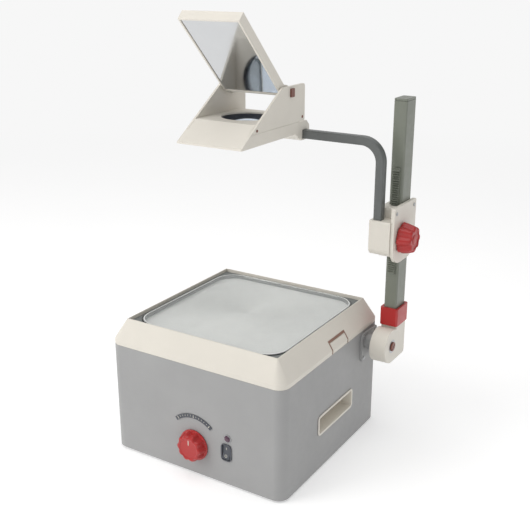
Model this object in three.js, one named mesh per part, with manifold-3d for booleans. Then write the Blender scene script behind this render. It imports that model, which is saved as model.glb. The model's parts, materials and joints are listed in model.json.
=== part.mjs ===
// Overhead projector: open-topped body with a hinged glass stage, a folding post beside it,
// a rack-and-pinion carriage, a square-tube arm and a tilting mirror head.
// Millimetres, +Z up, +X right, +Y back; the control panel is on the -Y side and the post at
// the right rear. Heights are measured from the bench plane; at the end the assembly is
// lowered by GLASS.top, so the origin is the centre of the stage glass's top face.
import * as THREE from 'three';
import { mergeVertices } from 'three/addons/utils/BufferGeometryUtils.js';
import Module from 'manifold-3d';

const wasm = await Module();
wasm.setup();

// ------------------------------------------------------------ driving dimensions
const GAP = 0.3; // fitting gap between pieces
const SLIDE_GAP = 0.5; // gap around the post for pieces that slide on it
const RACK_CLEARANCE = 0.15; // between the pitch lines of a rack and its pinion
// stage
const STAGE = { opening: 150, z0: 204, lipZ: 211.5, top: 247.4 }; // opening is a half side
const GLASS = { half: 145, radius: 40, top: 243.3, thickness: 5 };
const STAGE_PIVOT = { x: -178.2, z: 204 };
const HINGE_Y = 110;
const LATCH = { y0: -10, y1: 43, z1: 222 };
// body
const BODY = { halfX: 175, halfY: 172.5, z0: 4, z1: STAGE.z0 - GAP, radius: 20, wall: 3 };
const FRONT_Y = -BODY.halfY;
const FOOT = { x: 148, y: 145 };
const GRIP = { y: 4.5, z: 88.5, halfY: 61.5, halfZ: 17, radius: 6, depth: 25 };
const INLET = { x: 110, z: 38, halfX: 13.5, halfZ: 10 };
// front controls
const LAMP_KNOB = { x: 1, z: 58.5, radius: 28, depth: 19 };
const DIAL_SCALE = { inner: 50, outer: 57, halfAngle: 42 };
const SWITCH = { x: 66.5, z: 64, halfX: 9, halfZ: 14.5, radius: 3 };
const INDICATOR = { x: 69, z: 90.5, radius: 6, stem: 4.3 };
// lamps and cooling
const LAMP_GEAR = { module: 1.5, teeth: 24, angle: 20 };
const LAMP_PITCH = 26.39;
const LAMP_Z = 62;
const CONDENSER_R = 35.9;
const FAN = { x: -60, z: 72, half: 55, radius: 51 };
// post and hinge
const POST = { x: 212, y: 154, halfX: 12, halfY: 19, wall: 2.5, z0: 213.5, z1: 612, radius: 3 };
const PIVOT = { y: 118, z: 181, boltR: 5 };
const KNUCKLE = { x0: 197, x1: 227, radius: 31, front: 135, back: 173, top: 213 };
// focus carriage
const FOCUS = { y: 123, z: 384, module: 1.25, teeth: 12, angle: 25 };
const SHAFT_R = 3; // lamp and focus shafts
const ARM = { x: 198, y: 100, half: 7.5, wall: 1.5, z0: 370, z: 548, bend: 35, end: -18 };
// head and mirror
const CHEEK = { x0: 57.5, x1: 61.5, y0: 10, y1: 82, top: 637 };
const HEAD = { front: -112, back: 62, z0: 555, lip: 558, seam: 574.7, z1: 588, slopeY: -66 };
const LENS_R = 45;
const MIRROR_PIN = { y: 38, z: 626, radius: 4 };
const MIRROR = { halfX: 56, u0: 14, u1: 187, w0: 1, w1: 18, wall: 3 };

// ------------------------------------------------------------ points and spans
const CENTRE = [0, 0];
const xy = ({ x, y }) => [x, y];
const xz = ({ x, z }) => [x, z];
const yz = ({ y, z }) => [y, z];
const rad = THREE.MathUtils.degToRad;
const around = (centre, half) => [centre - half, centre + half];
// a span given for the right side, or its mirror image when side is -1
const sided = (side, [a, b]) => (side > 0 ? [a, b] : [-b, -a]);
// whole numbers from -half to half
const steps = (half) => Array.from({ length: 2 * half + 1 }, (_, i) => i - half);

// spans that pass through the body walls
const FRONT_CUT = [-180, -160];
const REAR_CUT = [160, 180];
const SIDE_CUT = [160, 185];

function arc([u, v], radius, start, end, segments) {
  return Array.from({ length: segments + 1 }, (_, i) => {
    const t = start + ((end - start) * i) / segments;
    return [u + radius * Math.cos(t), v + radius * Math.sin(t)];
  });
}

function circle([u, v], radius, segments) {
  return Array.from({ length: segments }, (_, i) => {
    const t = (2 * Math.PI * i) / segments;
    return [u + radius * Math.cos(t), v + radius * Math.sin(t)];
  });
}

// polygon of corners (u, v, radius), each turned into an arc; radius 0 stays sharp
function rounded(corners, segments) {
  return corners.flatMap(([u, v, radius], i) => {
    if (!radius) return [[u, v]];
    const corner = new THREE.Vector2(u, v);
    const towards = ([u2, v2]) => new THREE.Vector2(u2, v2).sub(corner).normalize();
    const back = towards(corners.at(i - 1));
    const ahead = towards(corners[(i + 1) % corners.length]);
    const half = Math.acos(back.dot(ahead)) / 2;
    const bisector = back.clone().add(ahead).normalize();
    const centre = corner.clone().addScaledVector(bisector, radius / Math.sin(half));
    const tangentAngle = (side) => {
      const tangent = corner.clone().addScaledVector(side, radius / Math.tan(half));
      return Math.atan2(tangent.y - centre.y, tangent.x - centre.x);
    };
    const start = tangentAngle(back);
    let end = tangentAngle(ahead);
    end -= 2 * Math.PI * Math.round((end - start) / (2 * Math.PI)); // the short way round
    return arc([centre.x, centre.y], radius, start, end, segments);
  });
}

const roundRect = ([u, v], halfU, halfV, radius, segments) => rounded([
  [u - halfU, v - halfV, radius], [u + halfU, v - halfV, radius],
  [u + halfU, v + halfV, radius], [u - halfU, v + halfV, radius],
], segments);

// lens surface from the axis out to the rim, as (radius, height)
const bowed = (radius, apex, sag) =>
  [0, 1 / 3, 2 / 3, 1].map((t) => [radius * t, apex + sag * t * t]);

// ------------------------------------------------------------ solids
// welds a geometry, drops its empty triangles and turns its faces outwards
function solid(geometry) {
  for (const key of Object.keys(geometry.attributes)) {
    if (key !== 'position') geometry.deleteAttribute(key);
  }
  const welded = mergeVertices(geometry, 1e-4);
  const { position } = welded.attributes;
  const source = welded.index.array;
  const corner = (i) => new THREE.Vector3().fromBufferAttribute(position, i);
  const triangles = [];
  let volume = 0;
  for (let i = 0; i < source.length; i += 3) {
    const [a, b, c] = source.slice(i, i + 3);
    if (a === b || b === c || a === c) continue;
    triangles.push(a, b, c);
    volume += corner(a).dot(corner(b).cross(corner(c)));
  }
  if (volume < 0) triangles.reverse();
  return new wasm.Manifold(new wasm.Mesh({
    numProp: 3,
    vertProperties: new Float32Array(position.array),
    triVerts: new Uint32Array(triangles),
  }));
}

const join = (first, ...rest) => rest.reduce((a, b) => a.add(b), first);
const cut = (first, ...rest) => rest.reduce((a, b) => a.subtract(b), first);

function box([x0, x1], [y0, y1], [z0, z1]) {
  const geometry = new THREE.BoxGeometry(x1 - x0, y1 - y0, z1 - z0);
  geometry.translate((x0 + x1) / 2, (y0 + y1) / 2, (z0 + z1) / 2);
  return solid(geometry);
}

// axis 'x': points are (y, z); axis 'y': points are (x, z); axis 'z': points are (x, y)
const PRISM_TURN = {
  x: new THREE.Matrix4().set(0, 0, 1, 0, 1, 0, 0, 0, 0, 1, 0, 0, 0, 0, 0, 1),
  y: new THREE.Matrix4().set(1, 0, 0, 0, 0, 0, 1, 0, 0, 1, 0, 0, 0, 0, 0, 1),
  z: new THREE.Matrix4(),
};
function prism(axis, points, [start, end]) {
  const shape = new THREE.Shape(points.map(([u, v]) => new THREE.Vector2(u, v)));
  const geometry = new THREE.ExtrudeGeometry(shape, { depth: end - start, bevelEnabled: false });
  geometry.translate(0, 0, start);
  geometry.applyMatrix4(PRISM_TURN[axis]);
  return solid(geometry);
}

const cylinder = (axis, centre, radius, span, segments) =>
  prism(axis, circle(centre, radius, segments), span);

// profile of (radius, height) turned about Z, then placed; a profile that starts off the
// axis is closed into a ring
function lathe(profile, segments, placement = new THREE.Matrix4()) {
  const points = profile.map(([r, z]) => new THREE.Vector2(r, z));
  if (profile[0][0] > 0) points.push(points[0].clone());
  const geometry = new THREE.LatheGeometry(points, segments);
  geometry.rotateX(Math.PI / 2);
  geometry.applyMatrix4(placement);
  return solid(geometry);
}

// rings of equal point count joined in turn; a closed loft comes back to its first ring,
// an open one gets a fan over each end
function loft(rings, closed) {
  const count = rings[0].length;
  const positions = rings.flat(2);
  const index = [];
  for (let i = 0; i < (closed ? rings.length : rings.length - 1); i++) {
    const a = i * count;
    const b = ((i + 1) % rings.length) * count;
    for (let k = 0; k < count; k++) {
      const next = (k + 1) % count;
      index.push(a + k, a + next, b + next, a + k, b + next, b + k);
    }
  }
  const capEnd = (start, flip) => {
    const hub = positions.length / 3;
    const centre = [0, 0, 0];
    for (let k = 0; k < count; k++) {
      for (let j = 0; j < 3; j++) centre[j] += positions[3 * (start + k) + j] / count;
    }
    positions.push(...centre);
    for (let k = 0; k < count; k++) {
      const edge = [start + k, start + ((k + 1) % count)];
      index.push(hub, ...(flip ? edge.reverse() : edge));
    }
  };
  if (!closed) {
    capEnd(0, true);
    capEnd((rings.length - 1) * count, false);
  }
  const geometry = new THREE.BufferGeometry();
  geometry.setAttribute('position', new THREE.Float32BufferAttribute(positions, 3));
  geometry.setIndex(index);
  return solid(geometry);
}

// loft of level rounded rectangles; rows are [halfX, halfY, radius, z]
const rectLoft = (centre, rows, segments, closed) => loft(rows.map(([halfX, halfY, radius, z]) =>
  roundRect(centre, halfX, halfY, radius, segments).map(([x, y]) => [x, y, z])), closed);

const tube = (centre, halfX, halfY, radius, wall, [z0, z1], segments) => rectLoft(centre, [
  [halfX, halfY, radius, z0],
  [halfX, halfY, radius, z1],
  [halfX - wall, halfY - wall, radius - wall, z1],
  [halfX - wall, halfY - wall, radius - wall, z0],
], segments, true);

const slab = (centre, halfX, halfY, radius, span, segments) =>
  rectLoft(centre, span.map((z) => [halfX, halfY, radius, z]), segments, false);

// fluted grip about Z; rows are [radius, z, share of the flute depth]
function fluted(rows, lobes, depth, pointsPerLobe) {
  return loft(rows.map(([radius, z, share]) =>
    Array.from({ length: lobes * pointsPerLobe }, (_, i) => {
      const t = (2 * Math.PI * i) / (lobes * pointsPerLobe);
      const r = radius - depth * share * (0.5 - 0.5 * Math.cos(lobes * t));
      return [r * Math.cos(t), r * Math.sin(t), z];
    })), false);
}

// ------------------------------------------------------------ gears
const TIP = 0.95; // tooth height above the pitch line, in modules
const ROOT = 1.25; // tooth depth below it, in modules
const BACKLASH = 0.35;
const pitchRadius = (gear) => (gear.module * gear.teeth) / 2;

// involute spur gear with a tooth centred on angle `phase`; the root circle lies inside the
// base circle, so each flank drops straight from one to the other
function gearOutline([u, v], gear, phase) {
  const pitchR = pitchRadius(gear);
  const pressure = rad(gear.angle);
  const baseR = pitchR * Math.cos(pressure);
  const tipR = pitchR + gear.module * TIP;
  const rootR = pitchR - gear.module * ROOT;
  const involute = (angle) => Math.tan(angle) - angle;
  const pitchHalf = (Math.PI * gear.module / 2 - BACKLASH) / (2 * pitchR);
  const halfTooth = (r) => pitchHalf + involute(pressure) - involute(Math.acos(baseR / r));
  const flank = [
    [rootR, halfTooth(baseR)],
    ...[baseR, baseR + (tipR - baseR) * 0.5, tipR].map((r) => [r, halfTooth(r)]),
  ];
  const tooth = [...flank.map(([r, half]) => [r, -half]), ...flank.reverse()];
  return Array.from({ length: gear.teeth }, (_, i) => {
    const middle = phase + (2 * Math.PI * i) / gear.teeth;
    return tooth.map(([r, t]) => [u + r * Math.cos(middle + t), v + r * Math.sin(middle + t)]);
  }).flat();
}

// straight rack as (along, out): out is measured from the pitch line towards the pinion,
// and a tooth gap is centred at gapAt
function rackOutline([start, end], gapAt, gear, back) {
  const pitch = Math.PI * gear.module;
  const lean = Math.tan(rad(gear.angle));
  const tip = TIP * gear.module;
  const root = ROOT * gear.module;
  const first = Math.ceil((start - gapAt) / pitch);
  const last = Math.floor((end - gapAt) / pitch - 1);
  const points = [[start, -back], [start, -root]];
  for (let k = first; k <= last; k++) {
    const middle = gapAt + pitch / 2 + k * pitch;
    const foot = pitch / 4 + root * lean;
    const crest = pitch / 4 - tip * lean;
    points.push([middle - foot, -root], [middle - crest, tip]);
    points.push([middle + crest, tip], [middle + foot, -root]);
  }
  return [...points, [end, -root], [end, -back]];
}

// ------------------------------------------------------------ materials
const finish = (settings) => () => new THREE.MeshStandardMaterial(settings);
const clear = { metalness: 0, transparent: true, opacity: 0.5 };
const MATERIAL = {
  body: finish({ color: 0xa6a6a5, roughness: 0.55, metalness: 0 }),
  cream: finish({ color: 0xe9e3d6, roughness: 0.5, metalness: 0 }),
  creamDark: finish({ color: 0xdcd2c0, roughness: 0.5, metalness: 0 }),
  postGrey: finish({ color: 0x80847a, roughness: 0.4, metalness: 0.3 }),
  bracketGrey: finish({ color: 0xa6a6a5, roughness: 0.45, metalness: 0.3 }),
  armGrey: finish({ color: 0x66696a, roughness: 0.45, metalness: 0.3 }),
  red: finish({ color: 0xbe3232, roughness: 0.4, metalness: 0 }),
  darkPlastic: finish({ color: 0x4b4f58, roughness: 0.5, metalness: 0 }),
  trayGrey: finish({ color: 0x6c6e6c, roughness: 0.6, metalness: 0 }),
  glass: finish({ color: 0xdfe4e2, roughness: 0.05, ...clear }),
  lens: finish({ color: 0xc9d4d6, roughness: 0.03, ...clear }),
  mirror: finish({ color: 0xd6dadc, roughness: 0.03, metalness: 1 }),
  steel: finish({ color: 0xa9abad, roughness: 0.35, metalness: 0.9 }),
  zinc: finish({ color: 0x9fa3a2, roughness: 0.5, metalness: 0.8 }),
  screw: finish({ color: 0x7a4a3c, roughness: 0.45, metalness: 0.4 }),
  rubber: finish({ color: 0x252525, roughness: 0.9, metalness: 0 }),
  copper: finish({ color: 0x9c5a35, roughness: 0.5, metalness: 0.3 }),
  core: finish({ color: 0x4a4a4c, roughness: 0.6, metalness: 0.6 }),
  ceramic: finish({ color: 0xe8e4da, roughness: 0.7, metalness: 0 }),
  nylon: finish({ color: 0xd8d6cc, roughness: 0.5, metalness: 0 }),
  violet: finish({ color: 0x5a3a52, roughness: 0.3, metalness: 0 }),
};

// ------------------------------------------------------------ groups
const [projector, chassis, stage, latch, post, collar, carriage, focus, mirror,
  lampKnob, lampCarriage, fan, rocker] = Array.from({ length: 13 }, () => new THREE.Group());
projector.add(chassis, stage, post, lampKnob, lampCarriage, fan, rocker);
stage.add(latch);
post.add(collar, carriage);
carriage.add(focus, mirror);

function toGeometry(manifold) {
  const { vertProperties, triVerts } = manifold.getMesh();
  const geometry = new THREE.BufferGeometry();
  const positions = new THREE.BufferAttribute(new Float32Array(vertProperties), 3);
  geometry.setAttribute('position', positions);
  geometry.setIndex(new THREE.BufferAttribute(new Uint32Array(triVerts), 1));
  geometry.computeVertexNormals();
  return geometry;
}

function addPiece(group, name, body, material, at = [0, 0, 0]) {
  const mesh = new THREE.Mesh(toGeometry(body), MATERIAL[material]());
  mesh.name = name;
  mesh.position.set(...at);
  group.add(mesh);
  return mesh;
}

// ------------------------------------------------------------ body shell and base
function bodyShell() {
  const walls = tube(CENTRE, BODY.halfX, BODY.halfY, BODY.radius, BODY.wall,
    [BODY.z0, BODY.z1], 6);
  const switchHole = roundRect(xz(SWITCH), SWITCH.halfX + GAP, SWITCH.halfZ + GAP,
    SWITCH.radius + GAP, 4);
  const gripHole = roundRect(yz(GRIP), GRIP.halfY + GAP, GRIP.halfZ + GAP, GRIP.radius + GAP, 4);
  // rear slots shorten away from the fan's axis
  const rearSlots = steps(4).map((i) => prism('y', roundRect(
    [FAN.x + 11 * i, FAN.z], 2.6, 40 - 2 * Math.abs(i) ** 1.5, 2.2, 1), REAR_CUT));
  const leftSlots = steps(5).map((i) =>
    prism('x', roundRect([GRIP.y + 13 * i, 38], 2.6, 15, 2.2, 1), sided(-1, SIDE_CUT)));
  return cut(walls,
    cylinder('y', xz(LAMP_KNOB), 4.5, FRONT_CUT, 24),
    cylinder('y', xz(INDICATOR), INDICATOR.stem + GAP, FRONT_CUT, 24),
    prism('y', switchHole, FRONT_CUT),
    cylinder('x', yz(PIVOT), 6.3, SIDE_CUT, 24),
    box(around(INLET.x, INLET.halfX + GAP), REAR_CUT, around(INLET.z, INLET.halfZ + GAP)),
    ...[-1, 1].map((side) => prism('x', gripHole, sided(side, SIDE_CUT))),
    ...rearSlots, ...leftSlots);
}

function basePlate() {
  const inset = BODY.wall + GAP;
  const through = [0, 10];
  return cut(
    slab(CENTRE, BODY.halfX - inset, BODY.halfY - inset, BODY.radius - inset,
      [BODY.z0 + GAP, BODY.z0 + GAP + 2], 6),
    ...[-1, 1].flatMap((sideX) => [-1, 1].map((sideY) =>
      cylinder('z', [sideX * FOOT.x, sideY * FOOT.y], 3.4, through, 12))),
    ...steps(2).map((i) => prism('z', roundRect([16 * i, 90], 3.5, 22, 3, 1), through)));
}

// foot with a stem that passes up through the base plate
const foot = () => lathe([
  [0, 0], [10.5, 0], [12, 1.2], [13, BODY.z0], [3, BODY.z0], [3, 9.5], [0, 9.5],
], 16);

// hand grip pocket: a cup behind a thin lip, open outwards
function sideGrip(side) {
  const layer = (grow, radius, x0, x1) => prism('x',
    roundRect(yz(GRIP), GRIP.halfY + grow, GRIP.halfZ + grow, radius, 5),
    sided(side, [BODY.halfX + x0, BODY.halfX + x1]));
  const lip = layer(2, 8, GAP, 1.9);
  const cup = layer(0, GRIP.radius, -GRIP.depth, 1.2);
  const hollow = layer(-2, 4.2, 2 - GRIP.depth, 5);
  return cut(join(lip, cup), hollow);
}

addPiece(chassis, 'body_shell', bodyShell(), 'body');
addPiece(chassis, 'base_plate', basePlate(), 'zinc');
for (const [depthName, sideY] of [['front', -1], ['rear', 1]]) {
  for (const [sideName, sideX] of [['left', -1], ['right', 1]]) {
    addPiece(chassis, `foot_${depthName}_${sideName}`, foot(), 'rubber',
      [sideX * FOOT.x, sideY * FOOT.y, 0]);
  }
}
addPiece(chassis, 'side_grip_right', sideGrip(1), 'cream');
addPiece(chassis, 'side_grip_left', sideGrip(-1), 'cream');

// ------------------------------------------------------------ front controls
function dialScale() {
  const start = rad(90 - DIAL_SCALE.halfAngle);
  const end = rad(90 + DIAL_SCALE.halfAngle);
  return prism('y', [
    ...arc(xz(LAMP_KNOB), DIAL_SCALE.outer, start, end, 14),
    ...arc(xz(LAMP_KNOB), DIAL_SCALE.inner, end, start, 14),
  ], [FRONT_Y - 1.5, FRONT_Y - GAP]);
}

// domed cap on a stem through the front wall
const powerIndicator = () => lathe([
  [0, -12], [INDICATOR.stem, -12], [INDICATOR.stem, GAP], [INDICATOR.radius, GAP],
  [INDICATOR.radius, 1.5], [5.2, 2.8], [3, 3.7], [0, 4],
], 24, new THREE.Matrix4().makeRotationX(Math.PI / 2)
  .setPosition(INDICATOR.x, FRONT_Y, INDICATOR.z));

function switchBezel() {
  const flange = roundRect(xz(SWITCH), 10.2, 15.7, 6.5, 6);
  const sleeve = roundRect(xz(SWITCH), SWITCH.halfX, SWITCH.halfZ, SWITCH.radius, 4);
  return cut(
    join(prism('y', flange, [FRONT_Y - 2, FRONT_Y - GAP]),
      prism('y', sleeve, [FRONT_Y - 1, FRONT_Y + 12])),
    prism('y', roundRect(xz(SWITCH), 7.5, 13.4, 0.8, 2), [-180, -150]));
}

// rocker with a shallow V across its front, tipped 8 degrees
function powerRocker() {
  const pivotY = FRONT_Y + 3;
  const cos = Math.cos(rad(-8));
  const sin = Math.sin(rad(-8));
  const profile = [ // (y, z) about the pivot
    [-4.6, -12], [-3.2, 0], [-4.6, 12], [0, 12], [6, 8], [6, -8], [0, -12],
  ].map(([y, z]) => [pivotY + y * cos - z * sin, SWITCH.z + y * sin + z * cos]);
  return prism('x', profile, around(SWITCH.x, 6.8));
}

function lampKnobBody() {
  const { radius, depth } = LAMP_KNOB;
  const skirt = fluted([[radius, 0.8, 0], [radius, 3.2, 0.2]], 10, 2.4, 4);
  const grip = fluted([[radius - 1.2, 3.1, 1], [radius - 3, 15, 1], [radius - 5, depth, 0.7]],
    10, 2.6, 4);
  const boreR = SHAFT_R + GAP;
  return cut(join(skirt, grip), lathe([[0, 0], [boreR, 0], [boreR, 13.5], [0, 13.5]], 20));
}

// shaft with the lamp pinion at its inner end
const lampShaft = () => join(
  cylinder('y', xz(LAMP_KNOB), SHAFT_R, [FRONT_Y - 13, -59], 20),
  prism('y', gearOutline(xz(LAMP_KNOB), LAMP_GEAR, Math.PI / 2), [-66, -60]));

addPiece(chassis, 'dial_scale', dialScale(), 'darkPlastic');
addPiece(chassis, 'power_indicator', powerIndicator(), 'violet');
addPiece(chassis, 'switch_bezel', switchBezel(), 'darkPlastic');
addPiece(rocker, 'power_rocker', powerRocker(), 'darkPlastic');
addPiece(lampKnob, 'lamp_knob', lampKnobBody(), 'red', [LAMP_KNOB.x, FRONT_Y, LAMP_KNOB.z])
  .rotation.set(Math.PI / 2, 0, 0);
addPiece(lampKnob, 'lamp_shaft', lampShaft(), 'nylon');

// ------------------------------------------------------------ stage
function stageFrame() {
  const profile = [ // (distance outside the opening, z)
    [25, STAGE.z0], [25, STAGE.lipZ], [2.6, 246.6], [1.4, STAGE.top], [0, STAGE.top],
    [0, 230.3], [-7, 230.3], [-7, 226.5], [3, 226.5], [3, 240.4], [22, 210.4], [22, STAGE.z0],
  ];
  // the opening is square but the body is not, so the rim is narrower in Y
  const narrowing = (BODY.halfY - STAGE.opening) / (BODY.halfX - STAGE.opening);
  const rows = profile.map(([out, z]) => [
    STAGE.opening + out,
    STAGE.opening + (out > 0 ? out * narrowing : out),
    0.6 + Math.max(0, out) * 0.776,
    z,
  ]);
  const latchNotch = box([159, 182], [LATCH.y0 - 0.4, LATCH.y1 + 0.4], [200, LATCH.z1 + 0.4]);
  return cut(rectLoft(CENTRE, rows, 6, true), latchNotch);
}

// square ring that carries the glass on a ledge
function stageTray() {
  const seat = GLASS.half + GAP;
  const seatR = GLASS.radius + GAP;
  const rows = [ // [half side, radius, z]
    [149.6, 0.8, 233.1], [149.6, 0.8, 241.5], [seat, seatR, 241.5],
    [seat, seatR, 238], [140.5, 36, 238], [140.5, 36, 233.1],
  ];
  return rectLoft(CENTRE, rows.map(([half, r, z]) => [half, half, r, z]), 6, true);
}

// press tab in the right-hand bevel with a hook that reaches down into the body
function latchButton() {
  const x0 = 160.5;
  const tab = [[175.6, 204.4], [175.6, STAGE.lipZ + 0.2], [169.2, LATCH.z1], [x0, LATCH.z1],
    [x0, 204.4]];
  const hook = [[x0, 206], [x0, 186], [164, 186], [167, 189.5], [163.5, 190], [163.5, 206]];
  return join(prism('y', tab, [LATCH.y0, LATCH.y1]), prism('y', hook, [8, 25]));
}

const latchKeeper = () => prism('y', [
  [171.7, 198], [171.7, 180], [170.2, 180], [170.2, 192], [167.6, 193], [167.6, 197],
  [170.2, 198],
], [5, 28]);

const LEAF_X = [-177.3, -175.3];
const leafBarrel = (span) => cylinder('y', xz(STAGE_PIVOT), 2.6, span, 10);

// body leaf: two end barrels and the hinge pin
const fixedLeaf = () => join(
  cut(box(LEAF_X, [-15, 15], [182, 203.2]), box([-178, -174], [-7.6, 7.6], [200.6, 205])),
  leafBarrel([-15, -7.4]), leafBarrel([7.4, 15]),
  cylinder('y', xz(STAGE_PIVOT), 1.2, [-8, 8], 8));

// stage leaf: one middle barrel, bored for the pin
const movingLeaf = () => cut(
  join(box(LEAF_X, [-7, 7], [203.4, 211]), box(LEAF_X, [-15, 15], [207.2, 211]),
    leafBarrel([-7, 7])),
  cylinder('y', xz(STAGE_PIVOT), 1.6, [-10, 10], 8));

addPiece(stage, 'stage_frame', stageFrame(), 'cream');
addPiece(stage, 'stage_tray', stageTray(), 'trayGrey');
addPiece(stage, 'stage_glass', slab(CENTRE, GLASS.half, GLASS.half, GLASS.radius,
  [GLASS.top - GLASS.thickness, GLASS.top], 6), 'glass');
addPiece(stage, 'fresnel_lens', slab(CENTRE, 149.4, 149.4, 0.8, [230.6, 232.8], 1), 'lens');
addPiece(latch, 'latch_button', latchButton(), 'cream');
addPiece(chassis, 'latch_keeper', latchKeeper(), 'steel');
for (const [where, y] of [['front', -HINGE_Y], ['rear', HINGE_Y]]) {
  addPiece(chassis, `body_hinge_leaf_${where}`, fixedLeaf(), 'steel', [0, y, 0]);
  addPiece(stage, `stage_hinge_leaf_${where}`, movingLeaf(), 'steel', [0, y, 0]);
}

// ------------------------------------------------------------ lamp house and optics
const LAMP_FLOOR = 6.6; // underside of the pieces that stand on the base plate

// thin bowl centred on the lamp, on a round foot
const lampReflector = () => lathe([
  [0, LAMP_FLOOR], [14, LAMP_FLOOR], [14, 9], [6, 9],
  ...arc([0, LAMP_Z], 35.5, rad(-65.5), rad(-22), 3),
  ...arc([0, LAMP_Z], 34, rad(-22), rad(-90), 4),
], 20);

// sheet box, open in front and below, with a round light hole on top
const lampHouse = () => cut(
  box([-62, 62], [-46, 62], [LAMP_FLOOR, 104]),
  box([-60.5, 60.5], [-50, 60.5], [0, 102.5]),
  cylinder('z', CENTRE, 34, [90, 120], 32),
  box([-70, 70], [10, 45], [20, 60]),
  box([-40, 40], [50, 70], [20, 80]));

const condenserRing = () => lathe([
  [33, 104.3], [44, 104.3], [44, 125], [36.4, 125], [36.4, 106.3], [33, 106.3],
], 24);

const condenserLens = () => lathe([
  [0, 107], [CONDENSER_R, 107], ...bowed(CONDENSER_R, 120, -10).reverse(),
], 24);

// two-lamp slide: hooked over the rail, with a rack above the pinion
function lampSlide() {
  const pitchZ = LAMP_KNOB.z + pitchRadius(LAMP_GEAR) + RACK_CLEARANCE;
  const rack = rackOutline([-34, 18], LAMP_KNOB.x, LAMP_GEAR, 9)
    .map(([along, out]) => [along, pitchZ - out]);
  const width = [-60, 40];
  return join(
    box(width, [-57.5, -53.5], [50, 101]),
    prism('y', rack, [-66, -57.4]),
    box(width, [-68.5, -57.4], [97.6, 101]),
    box(width, [-68.5, -65.5], [92, 97.7]));
}

// cross bar on two footed uprights
const lampRail = () => join(
  box([-86, 86], [-65, -58], [90, 97]),
  ...[-1, 1].flatMap((side) => [
    box(sided(side, [85, 88]), [-75, -50], [LAMP_FLOOR, 103]),
    box(sided(side, [85, 100]), [-75, -50], [LAMP_FLOOR, 9]),
  ]));

const lampCapsule = () => lathe([
  [0, 0], [5, 0], [5, 8], [6.5, 11], [6.5, 36], [5, 40], [0, 43],
], 12, new THREE.Matrix4().makeRotationX(-Math.PI / 2));

addPiece(chassis, 'lamp_reflector', lampReflector(), 'steel');
addPiece(chassis, 'lamp_house', lampHouse(), 'zinc');
addPiece(chassis, 'condenser_ring', condenserRing(), 'zinc');
addPiece(chassis, 'condenser_lens', condenserLens(), 'lens');
addPiece(chassis, 'heat_glass', cylinder('z', CENTRE, CONDENSER_R, [120.8, 124], 24), 'glass');
addPiece(lampCarriage, 'lamp_slide', lampSlide(), 'zinc');
addPiece(chassis, 'lamp_rail', lampRail(), 'steel');
addPiece(lampCarriage, 'lamp_socket_block',
  box([-LAMP_PITCH - 10, 10], [-53.2, -38], [54, 70]), 'ceramic');
addPiece(lampCarriage, 'lamp_main', lampCapsule(), 'lens', [0, -37.7, LAMP_Z]);
addPiece(lampCarriage, 'lamp_spare', lampCapsule(), 'lens', [-LAMP_PITCH, -37.7, LAMP_Z]);

// ------------------------------------------------------------ cooling and mains
const FAN_HUB_R = 19;

function fanFrame() {
  const duct = cut(
    prism('y', roundRect(xz(FAN), FAN.half, FAN.half, 5, 2), [128, 166]),
    cylinder('y', xz(FAN), FAN.radius, [120, 170], 28));
  const strut = (halfX, halfZ) => box(around(FAN.x, halfX), [162, 165.5], around(FAN.z, halfZ));
  return join(duct, cylinder('y', xz(FAN), FAN_HUB_R, [161, 166], 24), strut(52, 2), strut(2, 52));
}

function fanRotor() {
  const blades = Array.from({ length: 7 }, (_, i) => {
    const blade = new THREE.BoxGeometry(32, 1.8, 22);
    blade.rotateX(rad(48));
    blade.translate(33, 146, 0);
    blade.rotateY((2 * Math.PI * i) / 7);
    return solid(blade);
  });
  return join(cylinder('y', CENTRE, FAN_HUB_R, [132, 160], 24), ...blades);
}

const transformerCore = () => cut(
  box([62.5, 146], [62, 107], [LAMP_FLOOR, 77]),
  box([76, 90], [50, 120], [21, 63]),
  box([118, 132], [50, 120], [21, 63]));

const transformerCoil = () => cut(
  box([76.4, 131.6], [46, 123], [21.4, 62.6]),
  box([89.6, 118.4], [61.6, 107.4], [10, 80]));

// flanged socket, open to the rear, with three pins
function powerInlet() {
  const flange = roundRect(xz(INLET), 22, 12.5, 4, 4);
  const block = (inset, span) =>
    box(around(INLET.x, INLET.halfX - inset), span, around(INLET.z, INLET.halfZ - inset));
  const pins = [[-6.5, 36], [0, 40], [6.5, 36]].map(([offset, z]) =>
    box(around(INLET.x + offset, 1), [155, 170], around(z, 2)));
  const socket = cut(
    join(prism('y', flange, [BODY.halfY + GAP, BODY.halfY + 2.5]),
      block(0, [152, BODY.halfY + 1])),
    block(2, [156, 180]));
  return join(socket, ...pins);
}

addPiece(chassis, 'fan_frame', fanFrame(), 'darkPlastic');
addPiece(fan, 'fan_rotor', fanRotor(), 'darkPlastic', [FAN.x, 0, FAN.z]);
addPiece(chassis, 'transformer_core', transformerCore(), 'core');
addPiece(chassis, 'transformer_coil', transformerCoil(), 'copper');
addPiece(chassis, 'power_inlet', powerInlet(), 'darkPlastic');

// ------------------------------------------------------------ folding post
const BOLT_BORE_R = PIVOT.boltR + GAP;

const hingeBracket = () => cut(
  join(
    prism('x', roundRect([PIVOT.y + 8, 173], 30, 27, 6, 4), [BODY.halfX + GAP, BODY.halfX + 4.5]),
    cylinder('x', yz(PIVOT), 14, [BODY.halfX + 4, KNUCKLE.x0 - 0.4], 28)),
  cylinder('x', yz(PIVOT), BOLT_BORE_R, [170, 200], 24));

// bolt with a round head outside the knuckle and a hexagon inside the body wall
const pivotBolt = () => join(
  cylinder('x', yz(PIVOT), PIVOT.boltR, [166, KNUCKLE.x1 + 1], 24),
  cylinder('x', yz(PIVOT), 8.5, [KNUCKLE.x1 + GAP, KNUCKLE.x1 + 3], 24),
  cylinder('x', yz(PIVOT), 9, [164, 171.7], 6));

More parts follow.
